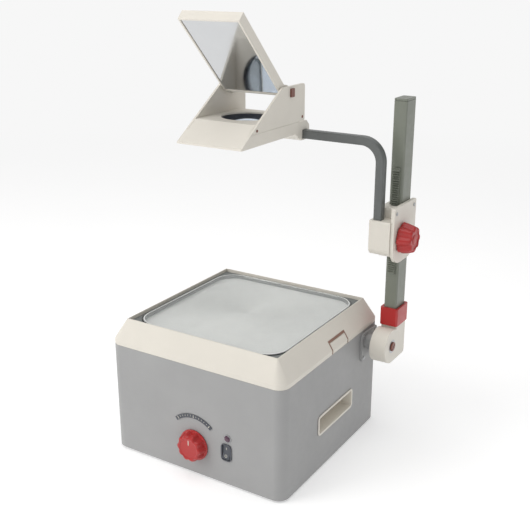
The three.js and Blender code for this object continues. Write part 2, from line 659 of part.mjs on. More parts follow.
// solid that fits inside the post
function postPlug(radius, span, segments) {
  const inset = POST.wall + GAP;
  return slab(xy(POST), POST.halfX - inset, POST.halfY - inset, radius, span, segments);
}

function hingeKnuckle() {
  const { radius, front, back, top } = KNUCKLE;
  const bottom = PIVOT.z - radius;
  const run = front - PIVOT.y;
  const start = Math.atan2(Math.sqrt(radius ** 2 - run ** 2), run);
  const outline = [
    ...arc(yz(PIVOT), radius, start, 1.5 * Math.PI, 22),
    ...rounded([[PIVOT.y + 10, bottom, 0], [back, bottom, 5], [back, top, 0], [front, top, 0]], 4),
  ];
  return cut(
    join(prism('x', outline, [KNUCKLE.x0, KNUCKLE.x1]), postPlug(1.5, [205, 290], 2)),
    cylinder('x', yz(PIVOT), BOLT_BORE_R, [190, 240], 24));
}

const postCap = () => join(
  slab(xy(POST), POST.halfX, POST.halfY, POST.radius, [POST.z1 + GAP, POST.z1 + 4], 3),
  postPlug(1, [POST.z1 - 12, POST.z1 + 1], 3));

function focusRack() {
  const pitchY = FOCUS.y + pitchRadius(FOCUS) + RACK_CLEARANCE;
  const back = POST.y - POST.halfY - GAP - pitchY;
  const outline = rackOutline([311, 501], FOCUS.z, FOCUS, back)
    .map(([along, out]) => [pitchY - out, along]);
  return prism('x', outline, [206, 218]);
}

function lockCollar() {
  const row = (grow, radius, z) => [POST.halfX + grow, POST.halfY + grow, radius, z];
  return rectLoft(xy(POST), [
    row(5, 4, 213.6), row(5, 4, 247),
    row(SLIDE_GAP, POST.radius, 247), row(SLIDE_GAP, POST.radius, 213.6),
  ], 3, true);
}

addPiece(chassis, 'hinge_bracket', hingeBracket(), 'bracketGrey');
addPiece(chassis, 'pivot_bolt', pivotBolt(), 'screw');
addPiece(post, 'hinge_knuckle', hingeKnuckle(), 'creamDark');
addPiece(post, 'post', tube(xy(POST), POST.halfX, POST.halfY, POST.radius, POST.wall,
  [POST.z0, POST.z1], 3), 'postGrey');
addPiece(post, 'post_cap', postCap(), 'postGrey');
addPiece(post, 'focus_rack', focusRack(), 'postGrey');
addPiece(collar, 'lock_collar', lockCollar(), 'red');

// ------------------------------------------------------------ focus carriage
const COVER_X = [225, 231];
const ARM_FIT = ARM.half + GAP; // half side of the arm's sockets

// block around the post and the foot of the arm, open on the right behind the cover
function carriageHousing() {
  const armBlock = rounded([[87, 417, 2], [87, 355, 14], [113.5, 355, 4], [113.5, 417, 0]], 4);
  const postBlock = rounded(
    [[112.9, 346, 10], [180, 346, 22], [180, 436, 4], [112.9, 436, 4]], 4);
  const through = [330, 450];
  return cut(
    join(prism('x', armBlock, [186.5, 224.7]), prism('x', postBlock, [193.5, 224.7])),
    box([POST.x - POST.halfX - SLIDE_GAP, 240], around(POST.y, POST.halfY + SLIDE_GAP), through),
    box([205.4, 218.6], [127.6, 140], through), // rack channel
    cylinder('x', yz(FOCUS), 10, [204, 230], 24), // pinion pocket
    cylinder('x', yz(FOCUS), SHAFT_R + GAP, [180, 230], 20),
    box(around(ARM.x, ARM_FIT), around(ARM.y, ARM_FIT), [ARM.z0 - 1, 430]));
}

const carriageCover = () => cut(
  prism('x', rounded([[90, 441, 4], [90, 340, 30], [182, 340, 30], [182, 441, 4]], 6), COVER_X),
  cylinder('x', yz(FOCUS), 3.4, [220, 240], 20));

// square tube: up, round a bend and along -X
function armTube() {
  const quarter = Math.PI / 2;
  const bend = Array.from({ length: 7 }, (_, i) => {
    const t = (quarter * i) / 6;
    return [ARM.x - ARM.bend + ARM.bend * Math.cos(t), ARM.z - ARM.bend + ARM.bend * Math.sin(t), t];
  });
  const path = [[ARM.x, ARM.z0, 0], ...bend, [ARM.end, ARM.z, quarter]]; // (x, z, turn)
  const skin = (half, radius) => path.map(([x, z, t]) => roundRect(CENTRE, half, half, radius, 2)
    .map(([a, b]) => [x + a * Math.cos(t), ARM.y + b, z + a * Math.sin(t)]));
  return loft([...skin(ARM.half, 2.2), ...skin(ARM.half - ARM.wall, 1).reverse()], true);
}

// shaft with its pinion; a tooth points at the rack
const focusShaft = () => join(
  cylinder('x', yz(FOCUS), SHAFT_R, [188, 249], 20),
  prism('x', gearOutline(yz(FOCUS), FOCUS, 0), [206, 218]));

function focusKnob() {
  const rows = [[25, 0.5, 0.4], [27.5, 3, 1], [27, 9, 1], [23.5, 22, 1], [20.5, 26, 0.8]];
  const boreR = SHAFT_R + GAP;
  return cut(fluted(rows, 8, 4, 6), lathe([[0, -2], [boreR, -2], [boreR, 18.6], [0, 18.6]], 20));
}

addPiece(carriage, 'carriage_housing', carriageHousing(), 'creamDark');
addPiece(carriage, 'carriage_cover', carriageCover(), 'creamDark');
addPiece(carriage, 'arm_tube', armTube(), 'armGrey');
addPiece(focus, 'focus_shaft', focusShaft(), 'steel');
addPiece(focus, 'focus_knob', focusKnob(), 'red', [COVER_X[1], FOCUS.y, FOCUS.z])
  .rotation.set(0, Math.PI / 2, 0);

// ------------------------------------------------------------ head
// y of the sloping front face at a height
const slopeAt = (z) =>
  HEAD.front + ((z - HEAD.lip) * (HEAD.slopeY - HEAD.front)) / (HEAD.z1 - HEAD.lip);

// hollow head, open below, with a socket behind for the arm
function headBase() {
  const { front, back, z0, lip, seam, z1, slopeY } = HEAD;
  const halfX = CHEEK.x0 - GAP;
  const lower = [[front, z0], [front, lip], [slopeAt(seam), seam], [back, seam], [back, z0]];
  const upper = [[slopeAt(seam), seam], [slopeY, z1], [back, z1], [back, seam]];
  const inner = [[front + 4, z0 - 5], [front + 4, lip + 0.4], [slopeY + 1.4, z1 - 3],
    [back - 3, z1 - 3], [back - 3, z0 - 5]];
  const socket = rounded([
    [back - 3, z0, 0], [back + 1, z0, 0], [88, 538, 3], [116, 538, 5],
    [116, 562, 5], [106, 571, 3], [back - 3, 571, 0],
  ], 3);
  const hollow = cut(
    join(prism('x', lower, around(0, CHEEK.x1)), prism('x', upper, around(0, halfX))),
    prism('x', inner, around(0, halfX - 3)));
  return cut(
    join(hollow, prism('x', socket, [-24, 52])),
    cylinder('z', CENTRE, 44, [570, 600], 40),
    box([ARM.end - 1, 70], around(ARM.y, ARM_FIT), around(ARM.z, ARM_FIT)));
}

const PIN_BORE_R = MIRROR_PIN.radius + GAP;

// side plate that rises behind to carry the mirror pin
function headCheek(side) {
  const seam = HEAD.seam + GAP;
  const outline = rounded([
    [slopeAt(seam), seam, 0], [CHEEK.y1, seam, 3], [CHEEK.y1, CHEEK.top, 5],
    [CHEEK.y0, CHEEK.top, 6], [HEAD.slopeY, HEAD.z1, 0],
  ], 3);
  return cut(prism('x', outline, sided(side, [CHEEK.x0, CHEEK.x1])),
    cylinder('x', yz(MIRROR_PIN), PIN_BORE_R, sided(side, [CHEEK.x0 - 5, CHEEK.x1 + 5]), 20));
}

const lensBarrel = () => lathe([
  [42, 556], [48.5, 556], [48.5, 584.6], [45.6, 584.6], [45.6, 558.5], [42, 558.5],
], 28);

const objectiveLens = () => lathe([
  ...bowed(LENS_R, 559.3, 8), ...bowed(LENS_R, 583, -12).reverse(),
], 28);

const mirrorPin = () => join(
  cylinder('x', yz(MIRROR_PIN), MIRROR_PIN.radius, [-64, 63], 20),
  ...[1, -1].map((side) => prism('x', roundRect(yz(MIRROR_PIN), 5.5, 7, 1.2, 2),
    sided(side, [CHEEK.x1 + GAP, 64.5]))));

addPiece(carriage, 'head_base', headBase(), 'cream');
addPiece(carriage, 'head_cheek_right', headCheek(1), 'cream');
addPiece(carriage, 'head_cheek_left', headCheek(-1), 'cream');
addPiece(carriage, 'lens_barrel', lensBarrel(), 'darkPlastic');
addPiece(carriage, 'objective_lens', objectiveLens(), 'lens');
addPiece(carriage, 'mirror_pin', mirrorPin(), 'screw');

// ------------------------------------------------------------ mirror
// (u, w) to (y, z): u runs up the mirror from the pin, w towards its reflecting side
const tilted = ([u, w]) => [
  MIRROR_PIN.y - Math.SQRT1_2 * (u + w),
  MIRROR_PIN.z + Math.SQRT1_2 * (u - w),
];
const tiltedSlab = (halfX, [u0, u1], [w0, w1]) =>
  prism('x', [[u0, w0], [u1, w0], [u1, w1], [u0, w1]].map(tilted), around(0, halfX));

// shallow tray with an ear at each side for the pin
function mirrorFrame() {
  const { halfX, u0, u1, w0, w1, wall } = MIRROR;
  const inside = [u0 + wall, u1 - wall];
  const earOutline = [
    ...arc(CENTRE, 9, rad(90), rad(270), 8),
    [14, -4], [22, 1.5], [22, 17], [14, 17], [6, 12],
  ].map(tilted);
  const tray = cut(
    tiltedSlab(halfX, [u0, u1], [w0, w1]),
    tiltedSlab(halfX - wall, inside, [4, 30]));
  return cut(
    join(tray, ...[-1, 1].map((side) => prism('x', earOutline, sided(side, [50, halfX])))),
    tiltedSlab(52.9, inside, [3.9, 30]), // clears the ears out of the tray
    cylinder('x', yz(MIRROR_PIN), PIN_BORE_R, [-70, 70], 20));
}

addPiece(mirror, 'mirror_frame', mirrorFrame(), 'cream');
addPiece(mirror, 'mirror_pad',
  tiltedSlab(52.4, [17.5, MIRROR.u1 - 3.5], [4.3, 11.6]), 'rubber');
addPiece(mirror, 'mirror_glass',
  tiltedSlab(52.5, [17.4, MIRROR.u1 - 3.4], [12, 16.6]), 'mirror');

// lower the assembly so that the stage glass's top face is at z = 0
projector.position.z = -GLASS.top;
projector.updateMatrixWorld(true);

export default projector;
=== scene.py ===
"""Overhead projector: lit box with a glass stage, a side post, and an arm carrying the head.

The front faces -Y, the right side +X, and the lowest point of the frame stands on the bench.
Detail pieces are given in millimetres above the bench; the scene itself is in metres.
"""
import json
import math
import bpy
import bmesh
from mathutils import Matrix, Vector


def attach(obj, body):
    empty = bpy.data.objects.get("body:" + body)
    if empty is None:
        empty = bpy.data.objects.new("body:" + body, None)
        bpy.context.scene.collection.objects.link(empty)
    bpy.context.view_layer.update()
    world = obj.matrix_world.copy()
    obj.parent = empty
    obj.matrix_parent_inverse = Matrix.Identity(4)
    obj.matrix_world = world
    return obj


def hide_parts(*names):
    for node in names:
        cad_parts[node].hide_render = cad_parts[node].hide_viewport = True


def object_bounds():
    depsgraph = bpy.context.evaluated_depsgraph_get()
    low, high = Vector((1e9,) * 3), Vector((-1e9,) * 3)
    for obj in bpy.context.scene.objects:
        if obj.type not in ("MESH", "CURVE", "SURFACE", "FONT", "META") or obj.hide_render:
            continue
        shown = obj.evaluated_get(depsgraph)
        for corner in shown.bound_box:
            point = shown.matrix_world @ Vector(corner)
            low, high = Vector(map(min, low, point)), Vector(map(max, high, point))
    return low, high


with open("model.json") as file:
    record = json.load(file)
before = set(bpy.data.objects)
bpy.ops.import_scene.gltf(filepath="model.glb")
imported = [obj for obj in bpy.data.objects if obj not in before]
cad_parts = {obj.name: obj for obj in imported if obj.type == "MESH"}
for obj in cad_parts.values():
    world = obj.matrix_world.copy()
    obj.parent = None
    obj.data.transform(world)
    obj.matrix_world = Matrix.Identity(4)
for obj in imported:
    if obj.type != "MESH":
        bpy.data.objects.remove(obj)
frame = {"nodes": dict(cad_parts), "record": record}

CAD_LO, CAD_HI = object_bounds()
BENCH = CAD_LO[2]
MM = 0.001
scene = bpy.context.scene


# ------------------------------------------------------------------ shader helpers
def srgb(*channels):
    """Linear colour from 0-255 display values."""
    def linear(value):
        value /= 255
        return value / 12.92 if value <= 0.04045 else ((value + 0.055) / 1.055) ** 2.4
    return tuple(linear(value) for value in channels)


def shade(colour, factor):
    return tuple(min(1.0, channel * factor) for channel in colour)


class Nodes:
    """Builds shader nodes as nested calls; every call gives an output socket."""

    def __init__(self, tree):
        self.tree = tree

    def feed(self, socket, value):
        """Links an output to the socket, or sets its value; colours gain an alpha of 1."""
        if isinstance(value, bpy.types.NodeSocket):
            self.tree.links.new(value, socket)
        elif socket.type == "RGBA":
            socket.default_value = (*value, 1)
        else:
            socket.default_value = value

    def node(self, kind, inputs=None, output=0, **settings):
        node = self.tree.nodes.new("ShaderNode" + kind)
        for setting, value in settings.items():
            setattr(node, setting, value)
        for key, value in (inputs or {}).items():
            self.feed(node.inputs[key], value)
        return node.outputs[output]

    def remap(self, value, span, to=(0, 1)):
        return self.node("MapRange", {"From Min": span[0], "From Max": span[1],
                                      "To Min": to[0], "To Max": to[1], "Value": value},
                         output="Result")

    def math(self, operation, first, second, clamp=False):
        return self.node("Math", {0: first, 1: second}, operation=operation, use_clamp=clamp)

    def mix(self, factor, first, second):
        return self.node("Mix", {0: factor, 6: first, 7: second}, output=2, data_type="RGBA")

    def mix_shader(self, factor, first, second):
        return self.node("MixShader", {0: factor, 1: first, 2: second})


class Surface(Nodes):
    """The node tree of one new material."""

    def __init__(self, name):
        self.material = bpy.data.materials.new(name)
        self.material.use_nodes = True
        super().__init__(self.material.node_tree)
        self.tree.nodes.clear()
        self.output = self.tree.nodes.new("ShaderNodeOutputMaterial")
        self.coord = self.node("TexCoord", output="Object")

    def finish(self, shader):
        self.feed(self.output.inputs["Surface"], shader)
        return self.material

    def noise(self, scale, detail=3, rough=0.6, distortion=0.0, stretch=None):
        vector = self.coord
        if stretch:
            vector = self.node("Mapping", {"Scale": stretch, "Vector": vector})
        return self.node("TexNoise", {"Scale": scale, "Detail": detail, "Roughness": rough,
                                      "Distortion": distortion, "Vector": vector}, output="Fac")

    def drift(self, source, colour, variation):
        """Colour wandering between slightly darker and slightly lighter."""
        return self.mix(self.remap(source, span=(0.35, 0.65)),
                        shade(colour, 1 - variation), shade(colour, 1 + variation))

    def bump(self, height, strength, distance, normal=None):
        inputs = {"Strength": strength, "Distance": distance, "Height": height}
        if normal is not None:
            inputs["Normal"] = normal
        return self.node("Bump", inputs, output="Normal")

    def chips(self, radius, scale, detail, span, strength):
        """Broken-up wear along sharp edges, found where the rounded normal leaves the true one."""
        rounded = self.node("Bevel", {"Radius": radius}, output="Normal", samples=4)
        true = self.node("NewGeometry", output="Normal")
        agreement = self.node("VectorMath", {0: rounded, 1: true}, output="Value",
                              operation="DOT_PRODUCT")
        edge = self.remap(agreement, span=(0.995, 0.9), to=(0.0, 1.0))
        breaks = self.remap(self.noise(scale=scale, detail=detail, rough=0.7), span=span)
        return self.math("MULTIPLY", self.math("MULTIPLY", edge, breaks, clamp=True), strength)

    def principled(self, **inputs):
        """Principled shader; an underscore in a name stands for the space in the socket's."""
        return self.node("BsdfPrincipled",
                         {key.replace("_", " "): value for key, value in inputs.items()})


# ------------------------------------------------------------------ finishes
def moulded(name, colour, rough=0.45, grain=0.35, grain_size=0.9, variation=0.05, wear=None,
            coat=0.0, specular=0.5):
    """Moulded plastic: fine grain (size in mm), slow colour drift, faint handling marks."""
    tree = Surface(name)
    slow = tree.noise(scale=9)
    fine = tree.noise(scale=1000 / grain_size, detail=2)
    cloud = tree.noise(scale=45, detail=4, rough=0.65)
    base = tree.drift(slow, colour, variation)
    marks = tree.remap(cloud, span=(0.55, 0.75), to=(0, 0.10))
    base = tree.mix(marks, base, shade(colour, 0.82))
    if wear is not None:
        chips = tree.chips(radius=0.0009, scale=240, detail=3, span=(0.5, 0.68), strength=0.55)
        base = tree.mix(chips, base, wear)
    gloss = tree.remap(tree.noise(scale=70), span=(0.3, 0.7), to=(rough - 0.06, rough + 0.08))
    normal = tree.bump(fine, strength=grain, distance=0.00012)
    normal = tree.bump(cloud, strength=0.05, distance=0.0004, normal=normal)
    return tree.finish(tree.principled(
        Base_Color=base, Roughness=gloss, Normal=normal, Coat_Weight=coat, Coat_Roughness=0.25,
        Specular_IOR_Level=specular))


def painted(name, colour, rough=0.35, variation=0.05, wear=0.6):
    """Stoved enamel: orange peel, faint streaks, bright metal where edges have rubbed."""
    tree = Surface(name)
    base = tree.drift(tree.noise(scale=12), colour, variation)
    chips = tree.chips(radius=0.0008, scale=330, detail=4, span=(0.54, 0.66), strength=wear)
    streak = tree.remap(tree.noise(scale=1, stretch=(160, 160, 12)),
                        span=(0.55, 0.75), to=(0, 0.12))
    base = tree.mix(streak, base, shade(colour, 1.35))
    bare_metal = (0.55, 0.55, 0.54)
    base = tree.mix(chips, base, bare_metal)
    gloss = tree.remap(tree.noise(scale=90), span=(0.3, 0.7), to=(rough - 0.05, rough + 0.1))
    peel = tree.bump(tree.noise(scale=420, detail=2, rough=0.5), strength=0.25, distance=0.00012)
    return tree.finish(tree.principled(
        Base_Color=base, Roughness=gloss, Normal=peel,
        Metallic=tree.math("MAXIMUM", chips, 0.0), Coat_Weight=0.15, Coat_Roughness=0.2))


def metal(name, colour, rough=0.3, axis="x", brushed=0.5, variation=0.08):
    """Bare metal with brush lines along the axis."""
    tree = Surface(name)
    stretch = tuple(30 if letter == axis else 1400 for letter in "xyz")
    lines = tree.noise(scale=1, detail=4, rough=0.7, stretch=stretch)
    slow = tree.noise(scale=22, detail=4)
    base = tree.drift(slow, colour, variation)
    gloss = tree.math("ADD",
                      tree.remap(lines, span=(0.3, 0.7), to=(rough - 0.08, rough + 0.12)),
                      tree.remap(slow, span=(0.3, 0.7), to=(-0.04, 0.06)))
    return tree.finish(tree.principled(
        Base_Color=base, Roughness=gloss, Metallic=1.0,
        Normal=tree.bump(lines, strength=brushed * 0.3, distance=0.00006)))


def galvanised(name, colour):
    """Zinc-coated sheet: each cell of spangle has its own shade and gloss."""
    tree = Surface(name)
    cells = tree.node("TexVoronoi", {"Scale": 130, "Vector": tree.coord}, output="Color")
    spangle = tree.node("SeparateColor", {0: cells})
    base = tree.mix(spangle, shade(colour, 0.82), shade(colour, 1.12))
    bloom = tree.remap(tree.noise(scale=30, detail=4, rough=0.7), span=(0.55, 0.75), to=(0, 0.3))
    base = tree.mix(bloom, base, shade(colour, 1.3))
    return tree.finish(tree.principled(
        Base_Color=base, Roughness=tree.remap(spangle, span=(0, 1), to=(0.34, 0.55)),
        Metallic=0.85,
        Normal=tree.bump(tree.noise(scale=500, detail=2, rough=0.5),
                         strength=0.12, distance=0.0001)))


def clear(name, tint, ior=1.5, haze=0.0):
    """Glass that lets shadow rays through, with faint dust and smears."""
    tree = Surface(name)
    smear = tree.noise(scale=26, detail=4, rough=0.7, distortion=0.6)
    glass = tree.node("BsdfGlass", {"IOR": ior, "Color": tint, "Roughness": tree.remap(
        smear, span=(0.45, 0.8), to=(0.0, 0.03))})
    dust = tree.principled(Base_Color=(0.8, 0.82, 0.82), Roughness=0.5)
    dusty = tree.mix_shader(tree.remap(smear, span=(0.4, 0.8), to=(haze, haze + 0.03)),
                            glass, dust)
    shadow_ray = tree.node("LightPath", output="Is Shadow Ray")
    passed = tree.node("BsdfTransparent", {"Color": shade(tint, 0.97)})
    return tree.finish(tree.mix_shader(shadow_ray, dusty, passed))


def frosted(name, colour, clearness):
    """Milky acrylic; clearness is the share of plain glass in it."""
    tree = Surface(name)
    cloud = tree.noise(scale=7)
    glass = tree.node("BsdfGlass", {"IOR": 1.49, "Color": (0.97, 0.98, 0.98), "Roughness": 0.25})
    milk = tree.principled(
        Base_Color=tree.mix(cloud, shade(colour, 0.96), shade(colour, 1.04)), Roughness=0.28,
        Normal=tree.bump(tree.noise(scale=300, detail=2, rough=0.5),
                         strength=0.05, distance=0.0001))
    glow = tree.node("BsdfTranslucent", {"Color": colour})
    translucent_share = 0.25
    body = tree.mix_shader(translucent_share, milk, glow)
    return tree.finish(tree.mix_shader(clearness, body, glass))


CREAM = srgb(220, 215, 205)
ZINC = (0.5, 0.51, 0.52)
MATS = {
    "body_grey": moulded("body_grey_paint", srgb(158, 158, 158), rough=0.5, grain=0.55,
                         grain_size=0.8, variation=0.03),
    "cream_plastic": moulded("cream_plastic", CREAM, rough=0.42, grain=0.3, grain_size=0.7,
                             variation=0.02, wear=srgb(196, 184, 158)),
    "red_plastic": moulded("red_plastic", srgb(172, 34, 33), rough=0.34, grain=0.18,
                           variation=0.06, wear=srgb(214, 90, 84), coat=0.2),
    "dark_plastic": moulded("dark_plastic", srgb(74, 77, 84), grain=0.4, variation=0.08),
    "indicator_violet": moulded("indicator_violet", srgb(78, 44, 66), rough=0.14, grain=0.02,
                                variation=0.1, coat=0.6),
    "rubber": moulded("rubber", srgb(36, 36, 37), rough=0.82, grain=0.6, grain_size=0.5,
                      variation=0.1, specular=0.3),
    "nylon": moulded("nylon", srgb(206, 203, 192), rough=0.4, grain=0.12, variation=0.03),
    "ceramic": moulded("ceramic", srgb(228, 222, 208), rough=0.6, grain=0.4, grain_size=1.4,
                       variation=0.04),
    "copper": moulded("copper", srgb(150, 88, 46), rough=0.4, grain=0.2, variation=0.12),
    "bracket_grey": painted("bracket_enamel", srgb(156, 156, 156), rough=0.4, variation=0.03,
                            wear=0.35),
    "post_paint": painted("post_paint", srgb(120, 124, 113), rough=0.34, variation=0.04),
    "arm_paint": painted("arm_paint", srgb(92, 95, 94), rough=0.34),
    "brown_screw": painted("brown_screw", srgb(118, 66, 52), rough=0.32, variation=0.1),
    "core_steel": painted("core_steel", srgb(64, 64, 67), rough=0.5, variation=0.12),
    "steel": metal("plated_steel", ZINC),
    "galvanised_sheet": galvanised("galvanised_sheet", ZINC),
    "bright_reflector": metal("bright_reflector", (0.86, 0.86, 0.85), rough=0.14, axis="z",
                              brushed=0.2, variation=0.02),
    "lens_glass": clear("lens_glass", (0.92, 0.95, 0.96)),
    "stage_glass": clear("stage_glass", (0.985, 0.99, 0.985), haze=0.02),
    "front_mirror": metal("front_mirror", (0.57, 0.58, 0.59), rough=0.08, brushed=0.0,
                          variation=0.01),
    "fresnel": frosted("fresnel_acrylic", srgb(246, 246, 245), clearness=0.08),
    "tray_grey": moulded("tray_grey", srgb(118, 121, 120), rough=0.5, grain=0.3),
    "cream_thin": moulded("cream_thin_wall", CREAM, rough=0.42, grain=0.0, grain_size=0.7,
                          variation=0.02),
    "keyline": moulded("keyline_enamel", srgb(222, 223, 222), rough=0.3, grain=0.05,
                       variation=0.02),
    # brown of the strip round the latch; on its wide top strip this brown is painted shade for the
    # shadow above the latch
    "brown_trim_and_shade": moulded("brown_trim_and_shade", srgb(138, 106, 92), rough=0.5, grain=0.25,
                          variation=0.08),
    "coated_lens": clear("coated_lens", (0.86, 0.90, 0.95), ior=1.52),
    "bulb_glass": clear("bulb_glass", (0.97, 0.98, 0.98), ior=1.46),
}


# ------------------------------------------------------------------ modifiers
def smooth_group():
    """Geometry nodes that shade smooth except across edges sharper than 32 degrees."""
    group = bpy.data.node_groups.new("smooth_by_angle", "GeometryNodeTree")
    for direction in ("INPUT", "OUTPUT"):
        group.interface.new_socket("Geometry", in_out=direction,
                                   socket_type="NodeSocketGeometry")
    entry = group.nodes.new("NodeGroupInput")
    result = group.nodes.new("NodeGroupOutput")
    edge_angle = group.nodes.new("GeometryNodeInputMeshEdgeAngle")
    compare = group.nodes.new("FunctionNodeCompare")
    compare.data_type = "FLOAT"
    compare.operation = "LESS_EQUAL"
    compare.inputs[1].default_value = math.radians(32)
    group.links.new(edge_angle.outputs[0], compare.inputs[0])
    faces = group.nodes.new("GeometryNodeSetShadeSmooth")
    faces.domain = "FACE"
    edges = group.nodes.new("GeometryNodeSetShadeSmooth")
    edges.domain = "EDGE"
    group.links.new(entry.outputs[0], faces.inputs[0])
    group.links.new(faces.outputs[0], edges.inputs[0])
    group.links.new(compare.outputs[0], edges.inputs["Shade Smooth"])
    group.links.new(edges.outputs[0], result.inputs[0])
    return group


SMOOTH = smooth_group()


def add_bevel(piece, width, segments=2, angle=30):
    """Rounds edges sharper than the angle (degrees); the width is in millimetres."""
    bevel = piece.modifiers.new("edges", "BEVEL")
    bevel.width = width * MM
    bevel.segments = segments
    bevel.limit_method = "ANGLE"
    bevel.angle_limit = math.radians(angle)
    bevel.use_clamp_overlap = True
    bevel.miter_outer = "MITER_ARC"


def add_smoothing(piece):
    piece.modifiers.new("smooth", "NODES").node_group = SMOOTH
    weighted = piece.modifiers.new("weighted", "WEIGHTED_NORMAL")
    weighted.keep_sharp = True
    weighted.weight = 80


# ------------------------------------------------------------------ frame pieces
# bevel width of each frame piece, millimetres; any other gets DEFAULT_BEVEL
BEVELS = {
    "body_shell": 0.7, "stage_frame": 1.4, "side_grip_right": 0.9, "side_grip_left": 0.9,
    "latch_button": 0.8, "post": 0.4, "post_cap": 0.8, "hinge_knuckle": 1.2,
    "hinge_bracket": 1.0, "carriage_housing": 1.6, "carriage_cover": 1.4, "head_base": 1.2,
    "head_cheek_right": 1.0, "head_cheek_left": 1.0, "mirror_frame": 0.7, "lock_collar": 1.6,
    "stage_glass": 0.6, "mirror_glass": 0.5, "stage_tray": 0.6, "power_rocker": 0.7,
    "switch_bezel": 0.35, "arm_tube": 0.2, "focus_rack": 0.12, "focus_shaft": 0.12,
    "lamp_shaft": 0.12, "transformer_coil": 3.0, "transformer_core": 0.5,
    "lamp_socket_block": 1.2, "power_inlet": 0.5, "dial_scale": 0.35,
}
DEFAULT_BEVEL = 0.3
# finishes that differ from the slot's: the tray under the glass, and a wall too thin for wear
LOOKS = {"stage_tray": "tray_grey", "mirror_frame": "cream_thin"}
# pieces whose flat faces are left as they come
UNMERGED = ("body_shell", "base_plate", "switch_bezel")

slots = {part["node"]: part["material_slot"] for part in frame["record"]["subparts"]}
for name, piece in frame["nodes"].items():
    piece.data.materials.clear()
    piece.data.materials.append(MATS[LOOKS.get(name, slots[name])])
    piece.modifiers.new("weld", "WELD").merge_threshold = 2e-6
    if name not in UNMERGED:
        planar = piece.modifiers.new("planar", "DECIMATE")
        planar.decimate_type = "DISSOLVE"
        planar.angle_limit = math.radians(0.4)
    add_bevel(piece, BEVELS.get(name, DEFAULT_BEVEL))
    add_smoothing(piece)

# ------------------------------------------------------------------ mesh helpers
# turns that lay a piece made about +Z along another direction
UPRIGHT = Matrix.Identity(4)
TO_X = Matrix(((0, 0, 1, 0), (1, 0, 0, 0), (0, 1, 0, 0), (0, 0, 0, 1)))
TO_NEG_X = Matrix(((0, 0, -1, 0), (-1, 0, 0, 0), (0, 1, 0, 0), (0, 0, 0, 1)))
TO_NEG_Y = Matrix(((1, 0, 0, 0), (0, 0, -1, 0), (0, 1, 0, 0), (0, 0, 0, 1)))
TO_Y = Matrix(((-1, 0, 0, 0), (0, 0, 1, 0), (0, 1, 0, 0), (0, 0, 0, 1)))
DOWN = Matrix.Rotation(math.pi, 4, "X")


def to_scene(turn, at):
    """From a piece's own millimetres to metres in the scene."""
    local = Matrix.Scale(MM, 4) @ Matrix.Translation(at) @ turn
    return Matrix.Translation((0, 0, BENCH)) @ local


def new_object(mesh, name):
    """Turns a bmesh into a linked object and frees it."""
    data = bpy.data.meshes.new(name)
    mesh.to_mesh(data)
    mesh.free()
    made = bpy.data.objects.new(name, data)
    scene.collection.objects.link(made)
    return made


def place(mesh, name, body, mat, replaces=None, turn=UPRIGHT, at=(0, 0, 0),
          bevel=0.0, segments=2, angle=30, smooth=True):
    """Turns a bmesh in millimetres above the bench into a riding, finished piece."""
    bmesh.ops.recalc_face_normals(mesh, faces=mesh.faces)
    mesh.transform(to_scene(turn, at))
    piece = new_object(mesh, name)
    piece.data.materials.append(MATS[mat])
    if bevel:
        add_bevel(piece, bevel, segments, angle)
    if smooth:
        add_smoothing(piece)
    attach(piece, body)
    if replaces:
        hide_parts(replaces)
    return piece


def bridge(mesh, low, high):
    """Joins two loops of vertices with a band of quads."""
    for k in range(len(low)):
        following = (k + 1) % len(low)
        mesh.faces.new((low[k], low[following], high[following], high[k]))


def rings_mesh(rings, closed=False):
    """Skin over rings of points; its ends are capped, or joined to each other if closed."""
    mesh = bmesh.new()
    loops = [[mesh.verts.new(point) for point in ring] for ring in rings]
    for low, high in zip(loops, loops[1:]):
        bridge(mesh, low, high)
    if closed:
        bridge(mesh, loops[-1], loops[0])
    else:
        mesh.faces.new(list(reversed(loops[0])))
        mesh.faces.new(loops[-1])
    return mesh


def add_bar(mesh, rings):
    """Adds a capped bar through the rings to a mesh."""
    loops = [[mesh.verts.new(point) for point in ring] for ring in rings]
    mesh.faces.new(list(reversed(loops[0])))
    for low, high in zip(loops, loops[1:]):
        bridge(mesh, low, high)
    mesh.faces.new(loops[-1])


def add_plate(mesh, outline, back_outline):
    """Adds a four-sided plate between two outlines to a mesh."""
    face = [mesh.verts.new(point) for point in outline]
    back = [mesh.verts.new(point) for point in back_outline]
    mesh.faces.new(face)
    mesh.faces.new(list(reversed(back)))
    for k in range(4):
        following = (k + 1) % 4
        mesh.faces.new((face[k], back[k], back[following], face[following]))


def turned(profile, steps=72, wave=None, closed=False):
    """Turned form about +Z from (radius, height[, share]); wave(angle) * share alters radius."""
    rings = []
    for radius, height, *share in profile:
        ring = []
        for k in range(steps):
            angle = 2 * math.pi * k / steps
            reach = radius + (wave(angle) * share[0] if share else 0)
            ring.append((reach * math.cos(angle), reach * math.sin(angle), height))
        rings.append(ring)
    return rings_mesh(rings, closed=closed)


def box(x0, x1, y0, y1, z0, z1):
    mesh = bmesh.new()
    corners = [mesh.verts.new((x, y, z)) for z in (z0, z1) for y in (y0, y1) for x in (x0, x1)]
    for face in ((0, 2, 3, 1), (4, 5, 7, 6), (0, 1, 5, 4),
                 (2, 6, 7, 3), (0, 4, 6, 2), (1, 3, 7, 5)):
        mesh.faces.new([corners[i] for i in face])
    return mesh


def round_rect(half_x, half_y, corner, z, steps=10, centre_y=0):
    """Rounded rectangle centred on x = 0, with its corners drawn in the given steps."""
    points = []
    for side_x, side_y, start in ((1, 1, 0), (-1, 1, 90), (-1, -1, 180), (1, -1, 270)):
        for k in range(steps + 1):
            angle = math.radians(start + 90 * k / steps)
            points.append((side_x * (half_x - corner) + corner * math.cos(angle),
                           centre_y + side_y * (half_y - corner) + corner * math.sin(angle), z))
    return points


